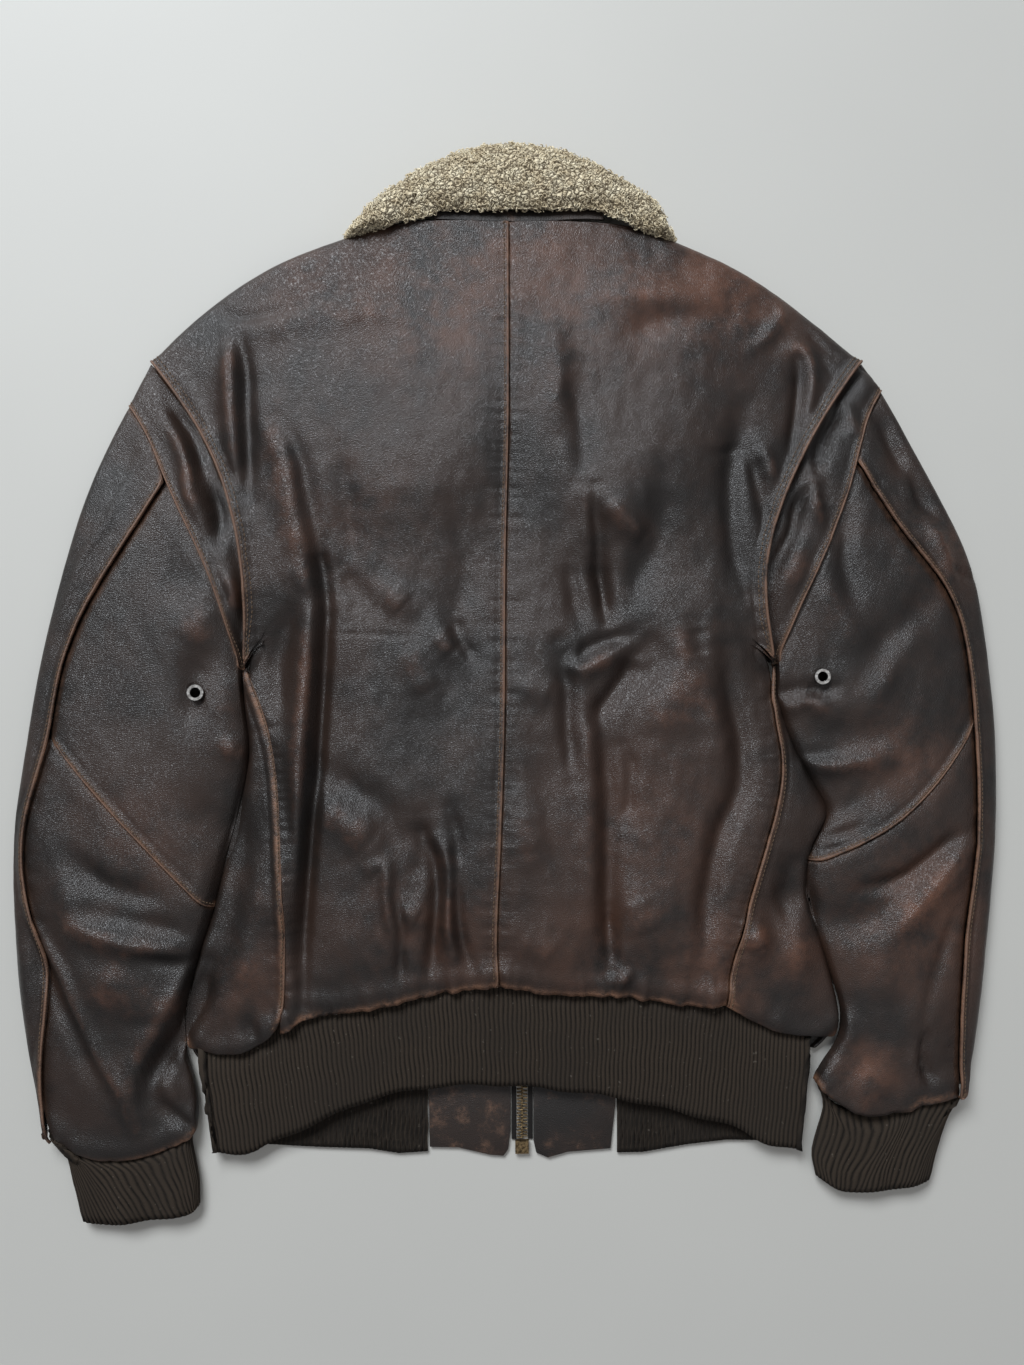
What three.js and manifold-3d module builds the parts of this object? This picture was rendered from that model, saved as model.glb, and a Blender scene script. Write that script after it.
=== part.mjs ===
// A worn leather flight jacket, laid out face down on a flat surface: the back is on top,
// the zipped front lies on the surface, and the sleeves lie beside the body.
// Millimetres, +X to the right, +Y from the hem to the collar, +Z up from the surface.
import * as THREE from 'three';
import { mergeVertices } from 'three/addons/utils/BufferGeometryUtils.js';
import Module from 'manifold-3d';

const manifold = await Module();
manifold.setup();

// ---------- driving sizes ----------
const LEATHER = 1.6;          // thickness of a leather wall
const KNIT = 2.4;             // thickness of the ribbed knit
const TAB = 2.6;              // the hem tabs are leather folded double
const SEAM_GAP = 0.3;         // clear space along every seam
const RIM_GAP = 0.5;          // clear space where upper and lower layers meet at a fold
const LOWER_ROLL = 6;         // radius of the lower half of a rolled edge
const UPPER_ROLL = 9;         // radius of the upper half of a rolled edge
const CROWN = 13;             // how far the upper layer swells above its rolled edge
const CROWN_REACH = 45;       // how quickly it swells, measured in from the edge
const HEM_LEVEL = 16.5;       // height of the leather where the waistband starts
const WRIST_LEVEL = 14;       // height of the leather where a cuff starts
const END_REACH = 22;         // how quickly the leather drops to those two heights
const COLLAR_PAD = 11;        // thickness of the fur that lies under the front
const COLLAR_MARGIN = 30;     // how far beyond that fur the front stays level
const COLLAR_REACH = 62;      // and then how far it takes to come back to the surface
const FINE_STEPS = [1.2, 4.5, 9.5];   // rows of points next to a rolled edge
const FRONT_HEM = -290;       // where the front panels end and the front of the rib starts
const ZIP = { left: 0.2, right: 8.4, tape: 4.0, top: 247, bottom: -353, thick: 2.2 };
const EYELET = { hole: 3.9, barrel: 4.3, cut: 4.7, flange: 6.2, thick: 0.9, depth: 2.6 };

// ---------- outlines, each a list of points that a smooth line runs through ----------
// Every line of a side starts where the line before it ends, so neighbours share a seam.
const BACK_SEAM = [[-7, 338], [-7, 207], [-9, 87], [-10, -44], [-14, -153], [-16, -210], [-14, -229]];

const LEFT = {
  name: 'left',
  shoulder: [[-133, 329], [-156, 321], [-189, 307], [-220, 291], [-240, 275], [-258, 256], [-276, 237]],
  neck: [[-133, 329], [-114, 332], [-89, 337], [-64, 339], [-30, 338], [-7, 338]],
  frontNeck: [[-133, 329], [-112, 298], [-85, 272], [-50, 254], [-4.2, 247]],
  armhole: [[-276, 237], [-247, 202], [-234, 182], [-223, 157], [-213, 130], [-203, 76], [-200, 47],
    [-203, 24], [-205.5, 6]],
  capTop: [[-292, 204], [-276, 184], [-268, 165], [-262, 144]],
  capLow: [[-262, 144], [-242, 105], [-229, 80], [-222, 57], [-214, 31], [-209.5, 7]],
  edgeCap: [[-276, 237], [-284, 221], [-292, 204]],
  edgeUpper: [[-292, 204], [-309, 171], [-327, 126], [-340, 80], [-351, 35], [-360, -10], [-365, -46]],
  edgeLower: [[-365, -46], [-374, -114], [-374, -159], [-371, -218], [-363, -277], [-349, -333]],
  pipeUpper: [[-262, 144], [-278, 119], [-299, 85], [-324, 43], [-338, 3], [-345, -46]],
  pipeLower: [[-345, -46], [-353, -73], [-364, -110], [-362, -165], [-345, -212], [-349, -266],
    [-352, -310], [-344, -340]],
  diagonal: [[-345, -46], [-327, -71], [-288, -111], [-249, -157], [-237, -168], [-229, -173]],
  innerUpper: [[-209.5, 7], [-206.8, -25], [-203, -45], [-202.5, -62], [-208, -86], [-212, -105],
    [-217, -123], [-224, -150], [-229, -173]],
  innerLower: [[-229, -173], [-234, -190], [-240, -209], [-245, -228], [-250, -246], [-251, -262],
    [-248, -284], [-243, -298], [-239, -318], [-240, -334]],
  wristStrip: [[-349, -333], [-347, -337], [-344, -340]],
  wrist: [[-344, -340], [-332, -351], [-306, -357], [-286, -356], [-264, -350], [-246, -341],
    [-240, -334]],
  sideSeam: [[-205.5, 6], [-188, -37], [-180, -82], [-177, -127], [-173, -187], [-174, -239],
    [-177, -263]],
  sideEdge: [[-206.6, 3], [-204.8, -25], [-201.2, -45], [-200.8, -62], [-206.2, -86], [-210.2, -105],
    [-215.2, -123], [-222.2, -150], [-227.2, -173], [-232.2, -190], [-238.2, -210], [-247.6, -246],
    [-247, -270]],
  sideTop: [[-205.5, 6], [-206.6, 3]],
  sideHem: [[-247, -270], [-237, -281], [-222, -284], [-204, -281], [-190, -275], [-177, -263]],
  backHem: [[-177, -263], [-166, -257], [-157, -250], [-132, -249], [-89, -240], [-51, -233],
    [-14, -229]],
  frontSideEnd: [[-247, -270], [-244, -279], [-240, -286]],
  frontCentre: -4.2,
  eyelet: [-239, -12],
  cuff: {
    outer: [[-346, -335], [-336, -350], [-330, -374], [-323, -404]],
    inner: [[-241, -335], [-243, -346], [-238, -372], [-237, -393]],
    end: [[-323, -404], [-300, -406], [-274, -403], [-245, -400], [-237, -393]],
  },
};

const RIGHT = {
  name: 'right',
  shoulder: [[124, 331], [138, 328], [170, 313], [202, 298], [226, 283], [240, 268], [257, 254],
    [270, 245]],
  neck: [[124, 331], [104, 334], [76, 340], [48, 341], [22, 339], [-7, 338]],
  frontNeck: [[124, 331], [112, 298], [88, 272], [56, 254], [12.8, 247]],
  armhole: [[270, 245], [253, 229], [238, 207], [224, 182], [199, 132], [187, 98], [185, 64], [190, 46],
    [198, 10]],
  capTop: [[285, 223], [271, 207], [265, 185], [261, 165]],
  capLow: [[261, 165], [254, 143], [246, 116], [236, 93], [222, 69], [206, 44], [203, 12]],
  edgeCap: [[270, 245], [278, 234], [285, 223]],
  edgeUpper: [[285, 223], [310, 178], [336, 131], [357, 84], [366, 30], [372, -20], [373.5, -40]],
  edgeLower: [[373.5, -40], [374, -88], [371, -150], [366, -197], [356, -274], [347, -314]],
  pipeUpper: [[261, 165], [273, 144], [304, 100], [323, 79], [337, 59], [348, 14], [352, -38]],
  pipeLower: [[352, -38], [353, -64], [353, -117], [348, -170], [340, -230], [337, -280], [339, -320]],
  diagonal: [[352, -38], [342, -55], [321, -85], [301, -107], [280, -121], [250, -137], [226, -142]],
  innerUpper: [[203, 12], [202, -18], [209, -38], [217, -58], [229, -80], [243, -100], [242, -110],
    [231, -126], [226, -142]],
  innerLower: [[226, -142], [225, -165], [230, -187], [237, -208], [245, -232], [251, -250],
    [252, -264], [248, -281], [237, -295], [229, -306]],
  wristStrip: [[347, -314], [343, -318], [339, -320]],
  wrist: [[339, -320], [320, -321], [305, -323], [296, -333], [280, -340], [258, -338], [242, -328],
    [229, -306]],
  sideSeam: [[198, 10], [194.5, -18], [198.5, -40], [203, -66], [196, -104], [182, -148], [169, -194],
    [160, -225], [159, -246]],
  sideEdge: [[200.5, 7], [200.8, -18], [207.6, -38], [215.4, -58], [227.4, -80], [241.2, -100],
    [240.2, -109.5], [229.4, -126], [224.2, -142], [223.4, -166], [235, -208], [249, -256],
    [246, -270]],
  sideTop: [[198, 10], [200.5, 7]],
  sideHem: [[246, -270], [236, -277], [223, -280], [206, -275], [188, -267], [171, -257], [159, -246]],
  backHem: [[159, -246], [148, -248], [128, -246], [98, -242], [69, -237], [40, -238], [14, -234],
    [-14, -229]],
  frontSideEnd: [[246, -270], [240, -278], [232, -286]],
  frontCentre: 12.8,
  eyelet: [233, 0],
  cuff: {
    outer: [[343, -319], [334, -337], [326, -360], [319, -388]],
    inner: [[231, -309], [236, -330], [227, -362], [230, -383]],
    end: [[319, -388], [300, -392], [276, -394], [250, -394], [230, -383]],
  },
};

// Each fold is a soft ridge (positive rise) or trough along a line on the upper layer.
const FOLDS = [
  { rise: 7, width: 15, line: [[-203, 240], [-176, 196], [-163, 150], [-155, 84], [-154, 10],
    [-160, -80], [-168, -170]] },
  { rise: -6, width: 11, line: [[-150, 130], [-141, 60], [-142, -30], [-149, -120], [-155, -215]] },
  { rise: -4, width: 10, line: [[-203, 210], [-199, 170], [-196, 118]] },
  { rise: 5, width: 16, line: [[132, 60], [146, -10], [150, -90], [134, -180], [126, -232]] },
  { rise: -5, width: 11, line: [[154, 21], [165, -60], [158, -111], [143, -188]] },
  { rise: -4, width: 12, line: [[64, 66], [69, -30], [67, -154], [68, -215]] },
  { rise: 4, width: 15, line: [[30, 40], [36, -40], [34, -140], [30, -210]] },
  { rise: -4, width: 12, line: [[-52, 20], [-58, -90], [-50, -205]] },
  { rise: 6, width: 13, line: [[-232, -150], [-246, -215], [-262, -262], [-280, -306]] },
  { rise: -8, width: 13, line: [[-250, -262], [-252, -300], [-252, -328]] },
  { rise: -6, width: 12, line: [[-352, -150], [-350, -215], [-336, -270], [-322, -320]] },
  { rise: 5, width: 16, line: [[-352, -140], [-318, -150], [-280, -190], [-262, -212]] },
  { rise: -5, width: 12, line: [[-216, -92], [-238, -118], [-262, -150]] },
  { rise: -6, width: 12, line: [[246, -104], [268, -96], [296, -84], [330, -70]] },
  { rise: 5, width: 14, line: [[232, -126], [262, -112], [300, -100], [340, -90]] },
  { rise: -5, width: 12, line: [[232, -180], [262, -170], [300, -176], [344, -200]] },
  { rise: 5, width: 14, line: [[262, -214], [290, -232], [320, -262], [330, -300]] },
];

// The collar's fall as pairs of points across its width, from its left tip round the neck to its
// right tip. stage 0 lies under the front, 1 stands at the side of the neck, 2 lies on top.
const FALL = [
  { outer: [-80, 172], inner: [-10, 288], stage: 0 },
  { outer: [-98, 204], inner: [-26, 296], stage: 0 },
  { outer: [-112, 240], inner: [-50, 304], stage: 0 },
  { outer: [-124, 280], inner: [-76, 316], stage: 0 },
  { outer: [-131, 316], inner: [-98, 328], stage: 0 },
  { outer: [-134, 332], inner: [-109, 335.5], stage: 0.15 },
  { outer: [-131, 339], inner: [-111, 338], stage: 1 },
  { outer: [-115, 351], inner: [-101, 340], stage: 1.7 },
  { outer: [-98, 366], inner: [-84, 343], stage: 2 },
  { outer: [-74, 384], inner: [-64, 344.5], stage: 2 },
  { outer: [-50, 397], inner: [-44, 344.5], stage: 2 },
  { outer: [-26, 405], inner: [-24, 344.5], stage: 2 },
  { outer: [0, 406], inner: [-2, 344.5], stage: 2 },
  { outer: [24, 405], inner: [20, 345], stage: 2 },
  { outer: [48, 397], inner: [42, 346.5], stage: 2 },
  { outer: [70, 386], inner: [62, 347], stage: 2 },
  { outer: [92, 371], inner: [80, 345], stage: 2 },
  { outer: [109, 356], inner: [94, 342], stage: 1.7 },
  { outer: [122, 341], inner: [102, 339.5], stage: 1 },
  { outer: [125, 334], inner: [100, 337], stage: 0.15 },
  { outer: [122, 318], inner: [92, 330], stage: 0 },
  { outer: [116, 282], inner: [74, 318], stage: 0 },
  { outer: [106, 242], inner: [52, 305], stage: 0 },
  { outer: [94, 206], inner: [32, 297], stage: 0 },
  { outer: [78, 172], inner: [18, 289], stage: 0 },
];

// ---------- points and lines ----------
const lerp = (a, b, t) => a + (b - a) * t;
const lerpPoint = (p, q, t) => p.map((value, k) => lerp(value, q[k], t));
const distance = (p, q) => Math.hypot(p[0] - q[0], p[1] - q[1]);
const smooth = (t) => {
  const s = Math.min(1, Math.max(0, t));
  return s * s * (3 - 2 * s);
};

function smoothLine(points, step = 3) {
  const curve = new THREE.CatmullRomCurve3(
    points.map(([x, y]) => new THREE.Vector3(x, y, 0)), false, 'centripetal');
  curve.arcLengthDivisions = 400;
  const count = Math.max(2, Math.ceil(curve.getLength() / step));
  return curve.getSpacedPoints(count).map((p) => [p.x, p.y]);
}

// Distances along a side at which it has points. A fine end is one that meets a rolled edge.
function stations(length, cells, fineStart, fineEnd) {
  const head = fineStart ? FINE_STEPS.slice(0, cells > 5 ? 3 : 2) : [];
  const tail = fineEnd ? FINE_STEPS.slice(0, cells > 5 ? 3 : 2) : [];
  const fits = length > 40;
  const first = fits ? head : [];
  const last = fits ? tail.map((d) => length - d).reverse() : [];
  const start = first.length ? first[first.length - 1] : 0;
  const end = last.length ? last[0] : length;
  const inner = cells - first.length - last.length;
  const middle = Array.from({ length: inner - 1 }, (_, k) => lerp(start, end, (k + 1) / inner));
  return [0, ...first, ...middle, ...last, length];
}

function side(points, cells, { rim = false, fineStart = false, fineEnd = false } = {}) {
  const curve = new THREE.CatmullRomCurve3(
    points.map(([x, y]) => new THREE.Vector3(x, y, 0)), false, 'centripetal');
  curve.arcLengthDivisions = 400;
  const length = curve.getLength();
  return stations(length, cells, fineStart, fineEnd).map((d) => {
    const p = curve.getPointAt(Math.min(1, d / length));
    return { x: p.x, y: p.y, rim };
  });
}

const asDrawn = (points, rim = true) => points.map(([x, y]) => ({ x, y, rim }));

const joinSides = (first, second) => [
  ...first.slice(0, -1),
  { ...second[0], rim: first[first.length - 1].rim || second[0].rim },
  ...second.slice(1),
];

function nearestOnLine(line, x, y) {
  let best = Infinity;
  for (let k = 0; k < line.length - 1; k += 1) {
    const [ax, ay] = line[k];
    const dx = line[k + 1][0] - ax;
    const dy = line[k + 1][1] - ay;
    const t = Math.min(1, Math.max(0, ((x - ax) * dx + (y - ay) * dy) / (dx * dx + dy * dy)));
    best = Math.min(best, (x - ax - dx * t) ** 2 + (y - ay - dy * t) ** 2);
  }
  return Math.sqrt(best);
}

const nearest = (lines, x, y) => Math.min(...lines.map((line) => nearestOnLine(line, x, y)));

// ---------- heights of the two layers ----------
const SIDES = [LEFT, RIGHT];
const rims = SIDES.flatMap((s) => [
  smoothLine(s.shoulder), smoothLine(s.edgeCap), smoothLine(s.edgeUpper), smoothLine(s.edgeLower),
  smoothLine([s.armhole[s.armhole.length - 1], s.capLow[s.capLow.length - 1]]),
  smoothLine(s.innerUpper), smoothLine(s.innerLower),
  smoothLine(s.sideTop), smoothLine(s.sideEdge), smoothLine(s.frontSideEnd),
]);
const hemLines = SIDES.flatMap((s) => [smoothLine(s.sideHem), smoothLine(s.backHem)]);
const wristLines = SIDES.map((s) => smoothLine(s.wrist));
const foldLines = FOLDS.map((fold) => ({ ...fold, dense: smoothLine(fold.line, 8) }));
const layDown = FALL.filter((f) => f.stage < 0.1);
const padOutlines = [layDown.filter((f) => f.outer[0] < 0), layDown.filter((f) => f.outer[0] > 0)]
  .map((pairs) => [...pairs.map((f) => f.outer), ...pairs.map((f) => f.inner).reverse(), pairs[0].outer]);

function insideOutline(outline, x, y) {
  let inside = false;
  for (let k = 0; k < outline.length - 1; k += 1) {
    const [ax, ay] = outline[k];
    const [bx, by] = outline[k + 1];
    if ((ay > y) !== (by > y) && x < ax + ((y - ay) / (by - ay)) * (bx - ax)) inside = !inside;
  }
  return inside;
}

// The front is lifted where the collar's fur lies under it.
function lift(x, y) {
  const clear = Math.min(...padOutlines.map((o) => (insideOutline(o, x, y) ? 0 : nearestOnLine(o, x, y))));
  return (COLLAR_PAD + 0.8) * (1 - smooth((clear - COLLAR_MARGIN) / COLLAR_REACH));
}

const rollSine = (d, radius) => (d >= radius ? 1 : Math.sqrt(Math.max(0, 1 - ((radius - d) / radius) ** 2)));

function upperHeight(x, y) {
  const d = nearest(rims, x, y);
  const inwards = 1 - Math.exp(-d / CROWN_REACH);
  let z = lift(x, y) + LOWER_ROLL + RIM_GAP / 2 + UPPER_ROLL * rollSine(d, UPPER_ROLL) + CROWN * inwards;
  for (const { rise, width, dense } of foldLines) {
    const away = nearestOnLine(dense, x, y) / width;
    if (away < 3) z += rise * Math.exp(-away * away) * (1 - Math.exp(-d / 14));
  }
  const hem = Math.exp(-nearest(hemLines, x, y) / END_REACH);
  const wrist = Math.exp(-nearest(wristLines, x, y) / END_REACH);
  z -= Math.max(0, z - HEM_LEVEL) * hem;
  return z - Math.max(0, z - WRIST_LEVEL) * wrist;
}

function lowerHeight(x, y) {
  const d = nearest(rims, x, y);
  return lift(x, y) + (LOWER_ROLL - RIM_GAP / 2) * (1 - rollSine(d, LOWER_ROLL));
}

const UPPER = { height: upperHeight, up: 1 };
const LOWER = { height: lowerHeight, up: -1 };

function surfaceNormal(layer, x, y) {
  const h = 0.4;
  const dx = (layer.height(x + h, y) - layer.height(x - h, y)) / (2 * h);
  const dy = (layer.height(x, y + h) - layer.height(x, y - h)) / (2 * h);
  return new THREE.Vector3(-dx, -dy, 1).normalize().multiplyScalar(layer.up);
}

// ---------- solids ----------
function solid(points, faces) {
  const geometry = new THREE.BufferGeometry();
  geometry.setAttribute('position', new THREE.Float32BufferAttribute(points.flat(), 3));
  geometry.setIndex(faces.flat());
  return outward(geometry);
}

function outward(geometry) {
  const p = geometry.getAttribute('position');
  const index = geometry.getIndex();
  const [a, b, c] = [new THREE.Vector3(), new THREE.Vector3(), new THREE.Vector3()];
  let volume = 0;
  for (let k = 0; k < index.count; k += 3) {
    a.fromBufferAttribute(p, index.getX(k));
    b.fromBufferAttribute(p, index.getX(k + 1));
    c.fromBufferAttribute(p, index.getX(k + 2));
    volume += a.dot(b.cross(c));
  }
  if (volume < 0) {
    for (let k = 0; k < index.count; k += 3) {
      const swap = index.getX(k);
      index.setX(k, index.getX(k + 2));
      index.setX(k + 2, swap);
    }
  }
  geometry.computeVertexNormals();
  return geometry;
}

const quad = (a, b, c, d) => [[a, b, c], [a, c, d]];

// A wall from a grid of outside points and a grid of inside points.
function gridWall(outside, inside) {
  const rows = outside.length;
  const columns = outside[0].length;
  const points = [...outside.flat(), ...inside.flat()];
  const at = (i, j, layer) => layer * rows * columns + i * columns + j;
  const faces = [];
  for (let i = 0; i < rows - 1; i += 1) {
    for (let j = 0; j < columns - 1; j += 1) {
      const cell = [[i, j], [i, j + 1], [i + 1, j + 1], [i + 1, j]];
      if (splitsBetterTheOtherWay(cell.map(([row, column]) => outside[row][column]))) {
        cell.push(cell.shift());
      }
      faces.push(...quad(...cell.map(([row, column]) => at(row, column, 0))));
      faces.push(...quad(...cell.map(([row, column]) => at(row, column, 1))).map((f) => f.reverse()));
    }
  }
  const edgeWall = ([i, j], [k, l]) => {
    faces.push(...quad(at(i, j, 0), at(k, l, 0), at(k, l, 1), at(i, j, 1)));
  };
  for (let j = 0; j < columns - 1; j += 1) {
    edgeWall([0, j + 1], [0, j]);
    edgeWall([rows - 1, j], [rows - 1, j + 1]);
  }
  for (let i = 0; i < rows - 1; i += 1) {
    edgeWall([i, 0], [i + 1, 0]);
    edgeWall([i + 1, columns - 1], [i, columns - 1]);
  }
  return solid(points, faces);
}

function triangleArea(a, b, c) {
  const [p, q, r] = [a, b, c].map((point) => new THREE.Vector3(...point));
  return q.sub(p).cross(r.sub(p)).length() / 2;
}

// A cell in a pointed corner is cut along the diagonal that leaves no thin triangle.
function splitsBetterTheOtherWay([a, b, c, d]) {
  const oneWay = Math.min(triangleArea(a, b, c), triangleArea(a, c, d));
  const otherWay = Math.min(triangleArea(b, c, d), triangleArea(b, d, a));
  const CLEARLY_LARGER = 1.5;
  return otherWay > oneWay * CLEARLY_LARGER;
}

// Unit vector across a side at point k, pointing into the panel.
function inwardAcross(line, k, inside) {
  const before = line[Math.max(0, k - 1)];
  const after = line[Math.min(line.length - 1, k + 1)];
  const tangent = new THREE.Vector2(after.x - before.x, after.y - before.y).normalize();
  const normal = new THREE.Vector2(-tangent.y, tangent.x);
  const towards = (inside.x - line[k].x) * normal.x + (inside.y - line[k].y) * normal.y;
  return towards < 0 ? normal.negate() : normal;
}

// The way through the wall. Along a seam it is turned to stay in the seam's upright plane,
// unless the wall there stands almost square to that plane.
function wallDirection(normal, seams) {
  const way = normal.clone();
  if (seams.length === 2) way.set(0, 0, Math.sign(normal.z) || 1);
  else if (seams.length === 1) {
    const across = new THREE.Vector3(seams[0].x, seams[0].y, 0);
    way.addScaledVector(across, -way.dot(across));
  }
  return way.length() < 0.4 ? normal.clone() : way.divideScalar(way.dot(normal));
}

// A leather panel between four sides: top and bottom run the same way, and so do start and end.
function panel({ top, bottom, start, end, layer, thickness = LEATHER }) {
  const columns = top.length - 1;
  const rows = start.length - 1;
  const share = (line) => {
    const run = [0];
    for (let k = 1; k < line.length; k += 1) {
      run.push(run[k - 1] + Math.hypot(line[k].x - line[k - 1].x, line[k].y - line[k - 1].y));
    }
    return run.map((d) => d / run[run.length - 1]);
  };
  const [topShare, bottomShare, startShare, endShare] = [top, bottom, start, end].map(share);
  const bow = (line, shares, k, axis) => {
    const straight = lerp(line[0][axis], line[line.length - 1][axis], shares[k]);
    return line[k][axis] - straight;
  };
  const blend = (axis, i, j) => {
    const v = (startShare[i] + endShare[i]) / 2;
    const u = lerp(topShare[j], bottomShare[j], v);
    const w = lerp(startShare[i], endShare[i], u);
    const straight = lerp(lerp(top[0][axis], top[columns][axis], u),
      lerp(bottom[0][axis], bottom[columns][axis], u), w);
    return straight + (1 - w) * bow(top, topShare, j, axis) + w * bow(bottom, bottomShare, j, axis)
      + (1 - u) * bow(start, startShare, i, axis) + u * bow(end, endShare, i, axis);
  };
  const flat = Array.from({ length: rows + 1 }, (_, i) =>
    Array.from({ length: columns + 1 }, (_, j) => ({ x: blend('x', i, j), y: blend('y', i, j) })));
  const outside = [];
  const inside = [];
  for (let i = 0; i <= rows; i += 1) {
    outside.push([]);
    inside.push([]);
    for (let j = 0; j <= columns; j += 1) {
      const edges = [];
      if (i === 0) edges.push([top, j, flat[1][j]]);
      if (i === rows) edges.push([bottom, j, flat[rows - 1][j]]);
      if (j === 0) edges.push([start, i, flat[i][1]]);
      if (j === columns) edges.push([end, i, flat[i][columns - 1]]);
      let { x, y } = flat[i][j];
      const facing = new THREE.Vector3();
      const seams = [];
      for (const [line, k, next] of edges) {
        const into = inwardAcross(line, k, next);
        if (line[k].rim) facing.add(new THREE.Vector3(-into.x, -into.y, 0));
        else seams.push(into);
      }
      const onRim = facing.length() > 0.1;
      const besideRim = edges.some(([line, k]) => line[k - 1]?.rim || line[k + 1]?.rim);
      const inset = onRim || besideRim ? SEAM_GAP : SEAM_GAP / 2;
      for (const into of seams) {
        x += into.x * inset;
        y += into.y * inset;
      }
      const normal = onRim ? facing.normalize() : surfaceNormal(layer, x, y);
      const rimLevel = lift(x, y) + LOWER_ROLL + (layer.up * RIM_GAP) / 2;
      const z = onRim ? rimLevel : layer.height(x, y);
      const through = wallDirection(normal, seams).multiplyScalar(thickness);
      const insideZ = z - through.z;
      outside[i].push([x, y, z]);
      inside[i].push([x - through.x, y - through.y,
        layer.up > 0 ? Math.max(insideZ, rimLevel) : Math.min(insideZ, rimLevel)]);
    }
  }
  return gridWall(outside, inside);
}

// A closed tube through rings of points, with flat ends.
function ringSolid(rings) {
  const count = rings[0].length;
  const at = (i, j) => i * count + (j % count);
  const faces = [];
  for (let i = 0; i < rings.length - 1; i += 1) {
    for (let j = 0; j < count; j += 1) {
      faces.push(...quad(at(i, j), at(i, j + 1), at(i + 1, j + 1), at(i + 1, j)));
    }
  }
  for (let j = 1; j < count - 1; j += 1) {
    faces.push([at(0, 0), at(0, j + 1), at(0, j)]);
    faces.push([at(rings.length - 1, 0), at(rings.length - 1, j), at(rings.length - 1, j + 1)]);
  }
  return solid(rings.flat(), faces);
}

function extruded(outline, bottom, height) {
  const shape = new THREE.Shape(outline.map(([x, y]) => new THREE.Vector2(x, y)));
  const geometry = new THREE.ExtrudeGeometry(shape, { depth: height, bevelEnabled: false });
  geometry.translate(0, 0, bottom);
  return geometry;
}

function box(low, high) {
  const size = high.map((value, k) => value - low[k]);
  const geometry = new THREE.BoxGeometry(...size);
  geometry.translate(...low.map((value, k) => value + size[k] / 2));
  return geometry;
}

function toManifold(geometry) {
  const bare = geometry.clone();
  bare.deleteAttribute('normal');
  if (bare.getAttribute('uv')) bare.deleteAttribute('uv');
  const merged = mergeVertices(bare, 1e-4);
  return new manifold.Manifold(new manifold.Mesh({
    numProp: 3,
    vertProperties: new Float32Array(merged.getAttribute('position').array),
    triVerts: new Uint32Array(merged.getIndex().array),
  }));
}

function fromManifold(shape) {
  const mesh = shape.getMesh();
  const geometry = new THREE.BufferGeometry();
  geometry.setAttribute('position', new THREE.BufferAttribute(new Float32Array(mesh.vertProperties), 3));
  geometry.setIndex(new THREE.BufferAttribute(new Uint32Array(mesh.triVerts), 1));
  geometry.computeVertexNormals();
  return geometry;
}

// ---------- materials ----------
const material = (color, roughness, metalness = 0) =>
  new THREE.MeshStandardMaterial({ color, roughness, metalness });
const leather = material(0x2f2622, 0.45);
const leatherWorn = material(0x4a3026, 0.5);
const knit = material(0x2d261f, 0.95);
const fur = material(0x8f7f5c, 1);
const tape = material(0x1c1917, 0.9);
const brass = material(0x6b5636, 0.4, 0.9);
const steel = material(0xb9b7b0, 0.3, 0.95);

const jacket = new THREE.Group();
function add(name, geometry, look) {
  const mesh = new THREE.Mesh(geometry, look);
  mesh.name = name;
  jacket.add(mesh);
}

// ---------- body ----------
const ARMHOLE_CELLS = 10;
const CAP_TOP_CELLS = 4;
const CAP_LOW_CELLS = ARMHOLE_CELLS - CAP_TOP_CELLS;
const FLANK_CELLS = LEFT.sideEdge.length - 1;
const NECK_CELLS = 3;
const SHOULDER_CELLS = 4;

function bodySides(s) {
  return {
    shoulder: side(s.shoulder, SHOULDER_CELLS, { rim: true }).reverse(),
    armhole: side(s.armhole, ARMHOLE_CELLS, { fineStart: true, fineEnd: true }),
    neck: side(s.neck, NECK_CELLS),
    backHem: side(s.backHem, NECK_CELLS + SHOULDER_CELLS),
    sideSeam: side(s.sideSeam, FLANK_CELLS),
    sideEdge: asDrawn(s.sideEdge),
  };
}

function backPanel(s) {
  const lines = bodySides(s);
  const start = joinSides(lines.armhole, lines.sideSeam);
  const end = side(BACK_SEAM, start.length - 1, { fineStart: true });
  const top = joinSides(lines.shoulder, lines.neck);
  return panel({ top, bottom: lines.backHem, start, end, layer: UPPER });
}

function sidePanel(s) {
  const lines = bodySides(s);
  return panel({
    top: side([...s.sideTop].reverse(), 4),
    bottom: side(s.sideHem, 4, { fineStart: true }),
    start: lines.sideEdge,
    end: lines.sideSeam,
    layer: UPPER,
  });
}

function frontPanel(s) {
  const lines = bodySides(s);
  const edge = asDrawn([...s.sideEdge, ...s.frontSideEnd.slice(1)]);
  const start = joinSides(lines.armhole, [{ ...lines.armhole[ARMHOLE_CELLS], rim: false }, ...edge.slice(1)]);
  const hemCorner = s.frontSideEnd[2];
  const centreTop = [s.frontCentre, ZIP.top];
  const centreHem = [s.frontCentre, FRONT_HEM];
  return panel({
    top: joinSides(lines.shoulder, side(s.frontNeck, NECK_CELLS)),
    bottom: side([hemCorner, [hemCorner[0] * 0.93, FRONT_HEM + 1], centreHem], NECK_CELLS + SHOULDER_CELLS,
      { fineStart: true }),
    start,
    end: side([centreTop, centreHem], start.length - 1),
    layer: LOWER,
  });
}

// ---------- sleeves ----------
const PIPE_UPPER_CELLS = LEFT.innerUpper.length - 1;
const PIPE_LOWER_CELLS = LEFT.innerLower.length - 1;
const STRIP_CELLS = 4;
const UNDER_CELLS = 10;
const UNDER_UPPER_CELLS = 12;

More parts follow.
